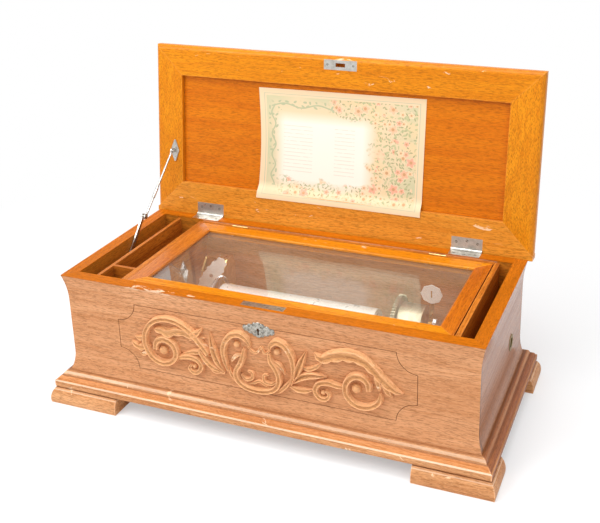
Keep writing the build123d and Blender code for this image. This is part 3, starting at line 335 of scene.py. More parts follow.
def oak(name, pale, deep, along="X", lean=0.0, rough=0.42, coat=0.04, figure=0.8, wear=0.0,
        rim=None, bay=None, carved=False, edges=0.2, painted_light_lines=()):
    """Oak with broad figure, short dark pores and pale flecks along one axis.

    The grain can lean with the open lid. A wall has a rim colour and a bay
    colour. Carved wood gets painted shade in its hollows, and its crests are
    painted pale, partly wear and partly painted highlight. Edges are painted
    pale by a share, partly wear and partly painted highlight. The last
    argument lists lines of painted shade and painted highlight, each an
    axis, a level and a reach in millimetres, a share and a colour.
    """
    tree = Tree(name)
    place = tree.add("ShaderNodeSeparateXYZ", {"Vector": tree.coords()}).outputs

    def grain(lengthwise, across, *details):
        """Noise stretched along the board."""
        scale = [lengthwise if axis == along else across for axis in "XYZ"]
        return tree.noise(tree.coords(scale, (lean, 0, 0)), 1.0, *details)

    broad = grain(2.2, 26, 4.0, 0.6, 1.4)
    lines = grain(9, 230, 3.0, 0.6, 0.6)
    pores = grain(105, 900, 2.0, 0.5, 0.3)
    flecks = grain(190, 480, 1.0, 0.5, 0.8)
    cloud = grain(3, 5, 2.0, 0.5, 0.0)
    # a pale colour for rubbed crests and edges: wear and painted highlight
    wear_and_highlight = [min(1.0, c * 1.15 + 0.10) for c in pale[:3]] + [1.0]
    shades = [pale, deep, darker(deep, 0.45)]
    if rim:
        shades = wall_shades(tree, place, rim, bay, shades)
    pale, deep, dark = shades
    tree.colour = pale
    for value, low, high, share, colour in (
            (broad, 0.34, 0.66, figure, deep), (lines, 0.46, 0.66, 0.8, deep),
            (pores, 0.48, 0.64, 0.62, dark), (flecks, 0.56, 0.66, 0.4, pale), (cloud, 0.3, 0.7, 0.3, deep)):
        tree.paint(tree.band(value, low, high, 0.0, share), colour)
    if carved:
        # painted shade in the hollows, and pale crests: partly wear, partly painted highlight
        form = tree.add("ShaderNodeNewGeometry").outputs["Pointiness"]
        tree.paint(tree.band(form, 0.50, 0.44, 0.0, 0.75), dark)
        tree.paint(tree.all_of(tree.band(form, 0.52, 0.57), tree.band(lines, 0.4, 0.6, 0.2, 0.75)), wear_and_highlight)
    if edges:
        # edges painted pale, partly wear and partly painted highlight
        rounded = tree.add("ShaderNodeBevel", {"Radius": 0.0028}, samples=6)
        true = tree.add("ShaderNodeNewGeometry").outputs["Normal"]
        facing = tree.add("ShaderNodeVectorMath", {0: rounded, 1: true}, operation="DOT_PRODUCT")
        tree.paint(tree.all_of(tree.band(facing.outputs["Value"], 0.995, 0.93, 0.0, edges),
                               tree.band(lines, 0.38, 0.62, 1.0, 0.3)), wear_and_highlight)
    if rim:
        mark_wall(tree, place, grain(45, 110, 4.0, 0.65, 0.8))
    # lines of painted shade and painted highlight
    for axis, level, reach, share, colour in painted_light_lines:
        tree.paint(tree.all_of(tree.near(place[axis], level * MM, reach * MM, 0.35 * MM, share),
                               tree.band(broad, 0.3, 0.6, 1.0, 0.6)), colour)
    if wear:
        chips, level = grain(26, 60, 4.0, 0.65, 0.8), 0.67 - wear * 0.1
        tree.paint(tree.band(chips, level, level + 0.04, 0.0, 0.8), (0.86, 0.62, 0.40, 1))
    tree.shade({"Base Color": tree.colour, "Coat Weight": coat, "Coat Roughness": 0.22,
                "Roughness": tree.band(lines, 0.3, 0.75, rough - 0.08, rough + 0.14),
                "Specular IOR Level": 0.05 if rim else 0.16})
    height = tree.calc("ADD", tree.all_of(pores, -1.0), tree.all_of(lines, -0.5))
    tree.bump(height, 0.35, 0.0004)
    return tree.owner


def metal(name, clean, tarnish, rough=0.3, speckle=220.0, amount=0.5, metallic=1.0, patch=60.0):
    """Plated or solid metal with cloudy tarnish and a fine grain."""
    tree = Tree(name)
    place = tree.coords()
    cloud = tree.noise(place, patch, 4.0, 0.6, 0.5)
    fine = tree.noise(place, speckle * 4, 3.0, 0.6, 0.0)
    share = tree.all_of(tree.band(cloud, 0.38, 0.68), tree.band(fine, 0.3, 0.6, 0.5, 1.0), amount)
    tree.shade({"Base Color": tree.mix(share, clean, tarnish), "Metallic": metallic,
                "Roughness": tree.band(cloud, 0.3, 0.7, rough - 0.06, rough + 0.16)})
    tree.bump(fine, 0.12, 0.0002)
    return tree.owner


def finish_nodes(material, *names):
    """Give CAD nodes a material in place of their plain one."""
    for name in names:
        slots = NODES[name].material_slots
        if not slots:
            raise RuntimeError("no material slot on " + name)
        for slot in slots:
            slot.material = material


# ---- settings ----
WOODS = (
    ("front", "Front", (0.70, 0.36, 0.18), (0.50, 0.21, 0.085)),
    ("carving", "Carving", (0.72, 0.37, 0.15), (0.50, 0.20, 0.065)),
    ("plinth", "Plinth and feet", (0.74, 0.39, 0.18), (0.44, 0.165, 0.05)),
    # a darker copy of the plinth oak on the short sides: painted shade
    ("flank", "Plinth's short sides", (0.46, 0.16, 0.04), (0.26, 0.065, 0.012)),
    ("case", "Case's sides", (0.44, 0.18, 0.07), (0.29, 0.10, 0.032)),
    ("lid", "Lid's frame", (0.74, 0.27, 0.006), (0.58, 0.165, 0.001)),
    ("foot", "Lid's rear rail", (0.77, 0.315, 0.035), (0.60, 0.19, 0.012)),
    ("panel", "Lid's panel", (0.68, 0.195, 0.003), (0.54, 0.12, 0.0)),
    # a deeper copy of the lid oak on the glass frame's short sides: painted shade
    ("stile", "Glass frame's short sides", (0.58, 0.155, 0.008), (0.40, 0.09, 0.003)),
    ("inner", "Dividers", (0.66, 0.22, 0.022), (0.36, 0.088, 0.008)),
)
COLOURS = tuple(
    (wood + "_" + shade.lower(), label + ", " + shade.lower(), shade + " grain of the " + label.lower(),
     colour)
    for wood, label, *colours in WOODS for shade, colour in zip(("Pale", "Deep"), colours)
) + (
    # the rims' colour also paints shade in the plinth's cove
    ("rim_top", "Rims", "Varnished top of the walls and the plinth's step", (0.64, 0.165, 0.004)),
    ("nickel", "Nickel", "Plating of the hinges, the strike plate and the stay", (0.62, 0.60, 0.56)),
    ("nickel_dark", "Nickel, tarnished", "Dull spots of the nickel, and the screws", (0.27, 0.25, 0.21)),
    ("brass", "Brass", "Brass of the standards and the governor", (0.78, 0.57, 0.25)),
    ("brass_dark", "Brass, tarnished", "Dull spots of the brass", (0.36, 0.23, 0.08)),
    ("steel", "Steel", "Comb, arbors, levers and the endless screw", (0.60, 0.60, 0.61)),
    ("paper", "Card", "Cream ground of the printed card", (0.78, 0.58, 0.36)),
)


def colour_value(label, text, value):
    """A colour property."""
    return bpy.props.FloatVectorProperty(name=label, description=text, subtype="COLOR", size=4,
                                         min=0.0, max=1.0, default=(*value, 1))


def size_value(label, text, value):
    """A property for a size or a factor."""
    return bpy.props.FloatProperty(name=label, description=text, default=value, min=0.0)


class MusicBoxFinishes(bpy.types.PropertyGroup):
    """Colours of the woods, metals and card"""
    __annotations__ = {name: colour_value(label, text, value) for name, label, text, value in COLOURS}


class MusicBoxSizes(bpy.types.PropertyGroup):
    """Sizes of the carving and of the cylinder's pins"""
    relief: size_value("Relief", "Height of the front carving over its drawn height", 1.45)
    spike_height: size_value("Pin height", "Height of the cylinder's pins, in millimetres", 0.8)
    spike_radius: size_value("Pin radius", "Radius of the cylinder's pins, in millimetres", 0.22)


def settings():
    """The finishes and sizes of the scene."""
    scene = bpy.context.scene
    return scene.music_box_finishes, scene.music_box_sizes


# ---- carving ----
def smooth_line(points, steps=6):
    """Points along a smooth curve that passes through the given points."""
    ends = [2 * Vector(points[0]) - Vector(points[1]), 2 * Vector(points[-1]) - Vector(points[-2])]
    line = [ends[0]] + [Vector(p) for p in points] + [ends[1]]
    made = []
    for index in range(1, len(line) - 2):
        a, b, c, d = line[index - 1:index + 3]
        for step in range(steps):
            t = step / steps
            made.append(0.5 * (2 * b + (c - a) * t + (2 * a - 5 * b + 4 * c - d) * t ** 2
                               + (3 * b - a - 3 * c + d) * t ** 3))
    made.append(line[-2])
    return made


def along_list(values, share):
    """A value between the entries of a list."""
    place = share * (len(values) - 1)
    index = min(int(place), len(values) - 2)
    return values[index] + (values[index + 1] - values[index]) * (place - index)


def carved_band(points, widths, height, lobes=0, cuts=0.0, vein=0.25, side=0):
    """A carved band on the front: rounded edges, a sunk middle and scalloped lobes.

    Points are X and Z in millimetres. Lobes cut scallops into both edges, or
    into one edge only where side is 1 or -1.
    """
    line = smooth_line(points)
    count = len(line)
    height *= settings()[1].relief
    across = (-1.0, -0.94, -0.72, -0.36, 0.0, 0.36, 0.72, 0.94, 1.0)
    rise = (0.0, 0.55, 0.95, 1.0 - vein * 0.6, 1.0 - vein, 1.0 - vein * 0.6, 0.95, 0.55, 0.0)
    rings = []
    for index, middle in enumerate(line):
        share = index / (count - 1)
        after = line[min(index + 1, count - 1)] - line[max(index - 1, 0)]
        normal = Vector((-after.y, after.x)).normalized()
        width = along_list(widths, share) / 2
        tall = height * (0.35 + 0.65 * min(1.0, width / 4.0))
        dip = 1.0 - abs(math.sin(math.pi * lobes * share)) if lobes else 0.0
        ring = []
        for place, up in zip(across, rise):
            scalloped = side == 0 or side * place > 0
            edge = 1.0 - cuts * dip * abs(place) if scalloped else 1.0
            spot = middle + normal * width * place * edge
            top = tall * max(up - 0.12 * dip * abs(place), 0.0)
            ring.append((spot.x * MM, FRONT_Y + (0.4 - top) * MM, spot.y * MM))
        rings.append(ring)
    return skin("band", rings)


def carved_button(x, z, radius, height):
    """A round boss at the middle of a scroll."""
    deselect()
    bpy.ops.mesh.primitive_uv_sphere_add(segments=20, ring_count=10, radius=radius * MM,
                                         location=(x * MM, FRONT_Y, z * MM))
    piece = bpy.context.object
    piece.scale = (1, height / radius, 1)
    return settle(piece, "button")


# bands: points, widths, height, lobes, cuts, vein and side; buttons: x, z, radius and height
# the left volute, with its leaves and small scroll
LEFT_SCROLLS = [
    ([(-81, 122), (-92, 136), (-106, 151), (-122, 162), (-142, 167), (-163, 163), (-178, 151), (-186, 134),
      (-185, 116), (-175, 99), (-158, 92), (-142, 98), (-134, 112), (-139, 127), (-153, 133), (-166, 127),
      (-169, 114)], [9, 10, 10, 9, 9, 9, 9, 9, 9, 9, 9, 9, 10, 11, 11, 10, 8], 6.0),
    (-157, 113, 7.5, 7.5),
    ([(-102, 143), (-116, 148), (-130, 149), (-146, 143), (-160, 146), (-172, 147)], [4, 13, 15, 15, 13, 2],
      5.0, 4, 0.5, 0.3, 1),
    ([(-179, 118), (-190, 112), (-200, 112), (-212, 118)], [6, 13, 13, 2], 4.5, 3, 0.5, 0.3),
    ([(-186, 130), (-196, 126), (-205, 127)], [6, 9, 1.5], 4.0),
    ([(-182, 108), (-191, 101), (-200, 101)], [6, 9, 1.5], 4.0),
    ([(-108, 148), (-98, 152), (-90, 161)], [9, 10, 1.5], 5.5),
    ([(-112, 140), (-101, 145), (-86, 146)], [5, 8, 1.5], 5.0),
    ([(-137, 104), (-127, 108), (-113, 111), (-101, 109), (-94, 101), (-97, 91), (-106, 86), (-114, 92),
      (-110, 99)], [5, 8, 9, 9, 9, 8, 7, 6, 4], 5.0),
    (-106, 96, 4.2, 5.0),
    ([(-124, 113), (-106, 120), (-92, 121), (-76, 117)], [3, 8, 8, 1.5], 4.5),
    ([(-96, 128), (-86, 112), (-74, 102), (-56, 95)], [7, 9, 9, 3], 5.5),
    ([(-84, 103), (-72, 96), (-56, 95)], [1.5, 8, 4], 4.5),
    ([(-57, 98), (-67, 114), (-73, 132), (-78, 157)], [3, 12, 11, 1.5], 5.5, 0, 0, 0.45),
]
# the two tall scrolls, the cup between them and its petals
CENTRE_SCROLLS = [
    ([(-50, 100), (-54, 116), (-56, 133), (-52, 148), (-42, 160), (-29, 164), (-18, 158), (-13, 147)],
      [4, 7, 9, 10, 10, 10, 8, 3], 6.0),
    (-35, 146, 5.5, 6.0),
    ([(49, 98), (53, 114), (54, 131), (50, 147), (41, 159), (29, 163), (20, 156), (17, 147)],
      [4, 7, 9, 10, 10, 10, 8, 3], 6.0),
    (28, 146, 5.5, 6.0),
    ([(-23, 141), (-25, 129), (-30, 116), (-36, 105), (-36, 93), (-28, 83), (-13, 78), (5, 78), (20, 83),
      (29, 93), (31, 106), (27, 118), (19, 130), (16, 141)], [5, 8, 9, 9, 9, 9, 8, 8, 9, 9, 9, 9, 8, 5],
      6.0),
    ([(-45, 115), (-38, 126), (-24, 133)], [2, 7, 2], 5.0),
    ([(40, 112), (32, 125), (19, 131)], [2, 7, 2], 5.0),
    ([(-30, 98), (-22, 92), (-13, 95), (-12, 104), (-19, 106)], [3, 6, 6, 5, 3], 4.5),
    ([(26, 98), (18, 92), (8, 94), (6, 103), (13, 106)], [3, 6, 6, 5, 3], 4.5),
    ([(-20, 84), (-10, 88), (-1, 92), (8, 88), (17, 84)], [2, 5, 5, 5, 2], 3.5),
    ([(-17, 146), (-10, 139), (-3, 139), (4, 148), (9, 139), (18, 146)], [3, 4, 4, 4, 4, 3], 4.0),
    ([(-50, 108), (-44, 96), (-33, 84), (-20, 78)], [3, 7, 7, 3], 5.0),
    ([(49, 106), (42, 95), (31, 84), (18, 78)], [3, 7, 7, 3], 5.0),
]
# the right volute, with its leaves and small scroll
RIGHT_SCROLLS = [
    ([(50, 100), (58, 118), (65, 136), (73, 156)], [3, 12, 11, 1.5], 5.5, 0, 0, 0.45),
    ([(48, 99), (66, 114), (84, 120), (103, 121)], [3, 12, 11, 1.5], 5.5, 0, 0, 0.45),
    ([(45, 95), (60, 92), (72, 93), (84, 96)], [3, 9, 8, 1.5], 4.5),
    ([(64, 130), (76, 128), (88, 134), (96, 142)], [3, 7, 7, 2], 4.5),
    ([(85, 156), (97, 149), (114, 156), (135, 161), (154, 159), (171, 148), (184, 135), (198, 124),
      (214, 117)], [1.5, 14, 19, 21, 18, 16, 15, 13, 1.5], 6.0, 9, 0.42, 0.35, -1),
    ([(182, 112), (181, 100), (171, 90), (156, 86), (142, 90), (133, 101), (132, 116), (140, 129),
      (153, 133), (164, 126), (166, 114)], [3, 9, 9, 9, 9, 9, 10, 11, 11, 10, 8], 6.0),
    (147, 112, 7.5, 7.5),
    ([(134, 110), (120, 111), (105, 113), (92, 109), (86, 98), (92, 87), (102, 86), (107, 94), (101, 99)],
      [5, 8, 9, 9, 9, 8, 7, 6, 4], 5.0),
    (97, 95, 4.2, 5.0),
    ([(186, 128), (193, 117), (199, 108)], [9, 10, 1.5], 4.5),
    ([(176, 136), (180, 124), (180, 114)], [9, 9, 1.5], 4.5),
]


class MUSICBOX_OT_carving(bpy.types.Operator):
    """Carve the scrolls and leaves of the front"""
    bl_idname = "music_box.carving"
    bl_label = "Front carving"

    def execute(self, context):
        look = settings()[0]
        material = oak("Carved oak", look.carving_pale, look.carving_deep, rough=0.5, coat=0.1,
                       figure=0.5, wear=0.35, carved=True, edges=0.3)
        for name, forms in (("carving_left", LEFT_SCROLLS), ("carving_centre", CENTRE_SCROLLS),
                            ("carving_right", RIGHT_SCROLLS)):
            piece = join(name, [carved_band(*form) if isinstance(form[0], list) else carved_button(*form)
                                for form in forms])
            smooth(piece, 50)
            give(piece, material, "case")
            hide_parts("front_carving")
        return {"FINISHED"}


# ---- woods ----
class MUSICBOX_OT_woods(bpy.types.Operator):
    """Give every board its oak, with the grain along its length"""
    bl_idname = "music_box.woods"
    bl_label = "Woods"

    def execute(self, context):
        look = settings()[0]
        walls = {"rim": look.rim_top, "bay": look.inner_pale, "edges": 0.0}
        lid = {"lean": math.radians(90) - LID_ANGLE}
        # a painted highlight colour and a painted shade colour for the plinth's mouldings and the lid's
        # seams
        painted_highlight, painted_shade = (0.90, 0.70, 0.52, 1), (0.17, 0.055, 0.015, 1)
        # the long plinth boards and the feet: painted shade in the cove and the quirks, painted highlight
        # on the bead and the arrises
        steps = (("Z", 39.5, 2.8, 0.4, look.rim_top), ("Z", 42.8, 0.35, 0.7, painted_shade),
                 ("Z", 46.6, 1.6, 0.5, painted_highlight), ("Z", 49.9, 0.3, 0.75, painted_shade), ("Z", 35.6, 0.5, 0.9, painted_highlight),
                 ("Z", 21.6, 0.5, 0.5, painted_highlight), ("Z", 24.1, 0.4, 0.6, painted_shade))
        # the short sides: painted shade in the quirks, painted highlight on the bead and the arris
        short_side_painted_light = (("Z", 42.8, 0.35, 0.7, painted_shade), ("Z", 46.6, 1.6, 0.3, look.plinth_pale),
                       ("Z", 49.9, 0.3, 0.8, painted_shade), ("Z", 35.6, 0.5, 0.6, look.plinth_pale))
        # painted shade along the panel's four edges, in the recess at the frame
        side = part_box("lid_stile_left")[1].x / MM
        foot, head = opened(92, 217)[1], opened(-94, 217)[1]
        painted_seam_shade = [(axis, level, 0.8, 0.6, painted_shade)
                 for axis, level in (("X", side), ("X", -side), ("Z", head), ("Z", foot))]
        for name, wood, along, values, nodes in (
                ("Front oak", "front", "X", {"rough": 0.5, **walls}, "case_front"),
                ("Back oak", "front", "X", walls, "case_back"),
                ("Left oak", "case", "Y", {"rough": 0.4, **walls}, "case_left"),
                ("Right oak", "case", "Y", {"coat": 0.8, **walls}, "case_right"),
                ("Plinth oak, long", "plinth", "X", {"wear": 0.12, "edges": 0.7, "painted_light_lines": steps},
                 "plinth_front plinth_back feet"),
                ("Plinth oak, short", "flank", "Y", {"coat": 0.2, "edges": 0.4, "painted_light_lines": short_side_painted_light},
                 "plinth_left plinth_right"),
                ("Divider oak", "inner", "Y", {}, "left_divider left_partition right_partition"),
                ("Rail oak", "inner", "X", {}, "cross_divider rear_rail glass_lid_ledges bottom_board"),
                ("Lid oak, head", "lid", "X", {"rough": 0.38, "wear": 0.1, **lid}, "lid_rail_front"),
                ("Lid oak, foot", "foot", "X", {"rough": 0.38, "wear": 0.1, **lid}, "lid_rail_back"),
                ("Lid oak, upright", "lid", "Z", {"rough": 0.38, **lid}, "lid_stile_left lid_stile_right"),
                ("Panel oak", "panel", "X", {"rough": 0.36, "figure": 0.6, "painted_light_lines": painted_seam_shade, **lid},
                 "lid_panel"),
                ("Glass frame oak, long", "lid", "X", {"rough": 0.35, "wear": 0.1},
                 "glass_rail_front glass_rail_back"),
                # painted shade: the short sides take the deeper stile grain
                ("Glass frame oak, left", "inner stile", "Y", {"rough": 0.35, "coat": 0.4},
                 "glass_stile_left"),
                ("Glass frame oak, right", "stile", "Y", {"rough": 0.35, "coat": 0.0},
                 "glass_stile_right")):
            woods = wood.split()
            pale, deep = getattr(look, woods[0] + "_pale"), getattr(look, woods[-1] + "_deep")
            finish_nodes(oak(name, pale, deep, along, **values), *nodes.split())
        return {"FINISHED"}


# ---- metals and glass ----
class MUSICBOX_OT_metals(bpy.types.Operator):
    """Give hinges, lock, stay and movement their metals"""
    bl_idname = "music_box.metals"
    bl_label = "Metals"

    def execute(self, context):
        look = settings()[0]
        for name, clean, tarnish, values, nodes in (
                ("Lock iron", (0.46, 0.43, 0.37, 1), (0.12, 0.10, 0.08, 1),
                 {"rough": 0.34, "speckle": 320.0, "amount": 1.0, "patch": 240.0}, "lock_case lock_bolt"),
                ("Worn nickel", look.nickel, look.nickel_dark, {"amount": 0.8},
                 "strike_plate case_hinge_leaves lid_hinge_leaves stay_lever stay_rod stay_bracket"),
                # a near-white, non-metal colour on the spring and governor plates: painted brightness in
                # place of polished nickel's reflection
                ("Bright nickel", (1.0, 0.98, 0.93, 1), (0.78, 0.76, 0.70, 1), {"metallic": 0.0},
                 "spring_plate governor_plate"),
                ("Old brass", look.brass, look.brass_dark, {"amount": 0.7},
                 "rail_hinge_leaves glass_hinge_leaves governor_wheel cylinder_standards spring_standard "
                 "governor_frame"),
                ("Dull brass", (0.34, 0.25, 0.11, 1), (0.14, 0.10, 0.04, 1),
                 {"rough": 0.4, "amount": 0.9, "patch": 200.0}, "crank_bush"),
                ("Barrel brass", (0.52, 0.46, 0.34, 1), (0.25, 0.20, 0.12, 1),
                 {"rough": 0.42, "amount": 0.9}, "spring_barrel"),
                ("Cylinder metal", (0.90, 0.89, 0.85, 1), (0.76, 0.73, 0.66, 1),
                 {"amount": 0.4, "metallic": 0.45}, "cylinder_drum"),
                ("Ground steel", look.steel, (0.36, 0.35, 0.34, 1), {"rough": 0.25},
                 "comb cylinder_arbor winding_arbor ratchet_wheel click governor_fly start_lever "
                 "change_lever case_screws lid_screws"),
                ("Gilt casting", (0.42, 0.33, 0.16, 1), (0.20, 0.14, 0.06, 1),
                 {"rough": 0.45, "speckle": 120.0, "amount": 0.6, "metallic": 0.7},
                 "bedplate comb_base")):
            finish_nodes(metal(name, clean, tarnish, **values), *nodes.split())
        return {"FINISHED"}


class MUSICBOX_OT_glass(bpy.types.Operator):
    """Make the pane clear, with a mirror-like sheen at low angles and a little dust"""
    bl_idname = "music_box.glass"
    bl_label = "Glass"

    def execute(self, context):
        tree = Tree("Window glass")
        clear = tree.add("ShaderNodeBsdfTransparent", {"Color": (0.98, 0.99, 0.985, 1)})
        sheen = tree.add("ShaderNodeBsdfGlossy", {"Color": grey(1.0), "Roughness": 0.015})
        inner = tree.add("ShaderNodeNewGeometry").outputs["Backfacing"]
        share = tree.add("ShaderNodeFresnel", {"IOR": tree.band(inner, 0.0, 1.0, 1.52, 1 / 1.52)})
        dust = tree.add("ShaderNodeBsdfDiffuse", {"Color": (0.80, 0.66, 0.52, 1)})
        smears = tree.noise(tree.coords((3, 9, 3)), 1.0, 4.0, 0.6, 1.0)
        veil = tree.add("ShaderNodeMixShader", {0: tree.band(smears, 0.3, 0.7, 0.03, 0.10),
                                                1: clear, 2: dust})
        tree.show(share, veil, sheen)
        tree.nodes.remove(tree.shader)
        finish_nodes(tree.owner, "glass_pane")
        return {"FINISHED"}


# ---- card in the lid ----
CARD_LEFT, CARD_WIDTH, CARD_LENGTH = -139, 288, 190
# the card's course over the rear rail and the panel, Y and Z in millimetres with the lid closed
CARD_COURSE = ((102.2, 210.2), (92.0, 210.2), (80.0, 217.2), (-85.8, 217.2))


def card_material(paper):
    """A printed card: ruled columns in a border of leaves and rosettes."""
    tree = Tree("Printed card")
    band, near, all_of, any_of, paint = tree.band, tree.near, tree.all_of, tree.any_of, tree.paint
    place = tree.add("ShaderNodeUVMap").outputs["UV"]
    parts = tree.add("ShaderNodeSeparateXYZ", {"Vector": place})
    across, up = parts.outputs["X"], parts.outputs["Y"]
    flat = tree.add("ShaderNodeVectorMath", {0: place, 1: (CARD_WIDTH * MM, CARD_LENGTH * MM, 1.0)},
                    operation="MULTIPLY").outputs[0]
    waver = tree.noise(place, 7.0, 3.0)
    fine = tree.noise(place, 70.0, 4.0, 0.7)

    def motifs(scale):
        """Scattered spots, turned by chance: X and Y from each one's middle, and two chances."""
        cells = tree.add("ShaderNodeTexVoronoi", {"Vector": flat, "Scale": scale, "Randomness": 0.85})
        apart = tree.add("ShaderNodeVectorMath", {0: flat, 1: cells.outputs["Position"]},
                         operation="SUBTRACT")
        chance = tree.add("ShaderNodeSeparateColor", {"Color": cells.outputs["Color"]}).outputs
        turned = tree.add("ShaderNodeVectorRotate", {"Vector": apart, "Axis": (0, 0, 1),
                                                     "Angle": all_of(chance["Red"], 6.28)})
        spot = tree.add("ShaderNodeSeparateXYZ", {"Vector": turned}).outputs
        return spot["X"], spot["Y"], chance["Green"], chance["Blue"]

    def length(x, y):
        return tree.calc("SQRT", tree.calc("ADD", all_of(x, x), all_of(y, y)))

    def wave(value, turns, height):
        return all_of(tree.calc("SINE", all_of(value, turns)), height)

    tree.colour = paper
    paint(band(fine, 0.3, 0.7, 0.0, 0.2), (0.70, 0.56, 0.36, 1))
    middle = all_of(near(across, 0.40, 0.24, 0.08), near(up, 0.46, 0.25, 0.10), 0.85)
    paint(middle, (0.86, 0.80, 0.71, 1))

    # where the flowers grow: right side, head and foot, with a ragged inner edge
    right = band(tree.calc("ADD", across, band(waver, 0.3, 0.7, -0.07, 0.07)), 0.69, 0.73)
    ragged = tree.calc("ADD", up, band(waver, 0.3, 0.7, -0.05, 0.05))
    foot = all_of(band(ragged, 0.21, 0.17), band(across, 0.10, 0.16))
    head = all_of(band(ragged, 0.78, 0.81), band(across, 0.42, 0.48))
    inside = all_of(near(across, 0.5, 0.455, 0.004), near(up, 0.5, 0.435, 0.006))
    field = all_of(any_of(right, foot, head), inside)

    # a green and a warm wash
    wash = tree.noise(place, 3.2, 2.0, 0.5)
    edges = any_of(band(across, 0.72, 0.92), band(up, 0.80, 0.95), band(across, 0.14, 0.05))
    paint(all_of(edges, inside, band(wash, 0.34, 0.58, 0.25, 0.85)), (0.50, 0.50, 0.30, 1))
    warm = tree.noise(place, 5.0, 2.0, 0.5, 0.5)
    paint(all_of(field, band(warm, 0.45, 0.62, 0.0, 0.6)), (0.84, 0.56, 0.30, 1))

    # leaves, then blossoms with five petals, a pale edge and a brown eye
    for scale, reach, shade in ((150.0, 0.0032, (0.27, 0.28, 0.13, 1)),
                                (105.0, 0.0046, (0.42, 0.43, 0.22, 1))):
        x, y, chance, _ = motifs(scale)
        leaf = band(length(all_of(x, 0.42), y), reach * 0.42, reach * 0.3)
        paint(all_of(field, leaf, band(chance, 0.32, 0.4), 0.75), shade)
    for scale, reach in ((40.0, 0.0092), (66.0, 0.0056)):
        x, y, chance, kind = motifs(scale)
        away = length(x, y)
        lobes = tree.calc("COSINE", all_of(tree.calc("ARCTAN2", y, x), 5.0))
        petal = tree.calc("SUBTRACT", away, all_of(band(lobes, -1.0, 1.0, 0.66, 1.0), reach))
        pink = tree.mix(band(kind, 0.4, 0.6), (0.80, 0.36, 0.24, 1), (0.84, 0.54, 0.32, 1))
        pink = tree.mix(band(petal, -0.0016, -0.0002, 0.0, 0.6), pink, (0.86, 0.68, 0.50, 1))
        pink = tree.mix(band(away, reach * 0.34, reach * 0.22, 0.0, 0.9), pink, (0.55, 0.26, 0.10, 1))
        bloom = all_of(band(petal, 0.0003, -0.0003), band(chance, 0.55, 0.57))
        paint(all_of(field, bloom, 0.9), pink)

    # a vine with sprigs up the left side and along the head
    stem = all_of(near(tree.calc("ADD", across, wave(up, 34.0, 0.012)), 0.085, 0.003, 0.003),
                  near(up, 0.5, 0.36))
    bough = all_of(near(tree.calc("ADD", up, wave(across, 30.0, 0.016)), 0.86, 0.004, 0.004),
                   near(across, 0.27, 0.19))
    sprigs = any_of(all_of(near(across, 0.085, 0.028, 0.004), near(up, 0.5, 0.36)),
                    all_of(near(up, 0.86, 0.042, 0.006), near(across, 0.27, 0.19)))
    x, y, chance, _ = motifs(90.0)
    sprigs = all_of(sprigs, band(length(all_of(x, 0.45), y), 0.0020, 0.0014), band(chance, 0.2, 0.25))
    paint(all_of(any_of(stem, bough, sprigs), 0.8), (0.36, 0.40, 0.24, 1))

    # broken ruled lines in two columns, and the border line
    rows = tree.calc("FRACT", all_of(up, 30.0))
    breaks = tree.noise(tree.add("ShaderNodeVectorMath", {0: place, 1: (34.0, 30.0, 1.0)},
                                 operation="MULTIPLY"), 1.0, 1.0)
    columns = any_of(near(across, 0.24, 0.09, 0.004), near(across, 0.53, 0.06, 0.004))
    ruled = all_of(near(rows, 0.5, 0.07, 0.06), band(breaks, 0.36, 0.44, 0.12, 0.34), columns,
                   near(up, 0.48, 0.22, 0.004))
    paint(ruled, (0.42, 0.34, 0.24, 1))
    sideways, upwards = (tree.calc("ABSOLUTE", tree.calc("SUBTRACT", value, 0.5)) for value in (across, up))
    border = near(any_of(sideways, tree.calc("ADD", upwards, 0.012)), 0.468, 0.0015, 0.0025)
    paint(all_of(border, 0.55), (0.34, 0.42, 0.30, 1))
    tree.shade({"Base Color": tree.colour, "Roughness": 0.6})
    tree.bump(fine, 0.1, 0.0002)
    return tree.owner


class MUSICBOX_OT_card(bpy.types.Operator):
    """Lay the printed card on the lid's panel, its left edge curling in"""
    bl_idname = "music_box.card"
    bl_label = "Card"

    def execute(self, context):
        deselect()
        bpy.ops.mesh.primitive_grid_add(x_subdivisions=24, y_subdivisions=30, size=1)
        piece = bpy.context.object
        piece.name = "printed_card"
        spans = [math.dist(start, end) for start, end in zip(CARD_COURSE, CARD_COURSE[1:])]
        for vertex in piece.data.vertices:
            u, v = vertex.co.x + 0.5, vertex.co.y + 0.5
            part, gone = 0, v * sum(spans)
            while part < 2 and gone >= spans[part]:
                gone -= spans[part]
                part += 1
            y, z = (a + (b - a) * gone / spans[part] for a, b in zip(*CARD_COURSE[part:part + 2]))
            # the left edge bows in, the card hangs a little askew and its corners lift
            x = CARD_LEFT + CARD_WIDTH * u + 5.0 * math.sin(math.pi * v) * (1 - u) ** 2
            y -= 0.012 * (x - CARD_LEFT - CARD_WIDTH / 2) * (0.3 + 0.7 * v)
            lift = 1.6 * (1 - u) ** 6 * (1 - v) + 1.2 * u ** 8 * (1 - v) + 0.5 * (1 - u) ** 8 * v
            y, z = opened(y, z - 0.25 - lift)
            vertex.co = (x * MM, y * MM, z * MM)
        apply_modifier(piece, "SOLIDIFY", thickness=0.35 * MM, offset=0.0)
        smooth(piece, 40)
        give(piece, card_material(settings()[0].paper), "lid")
        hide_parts("tune_sheet")
        return {"FINISHED"}


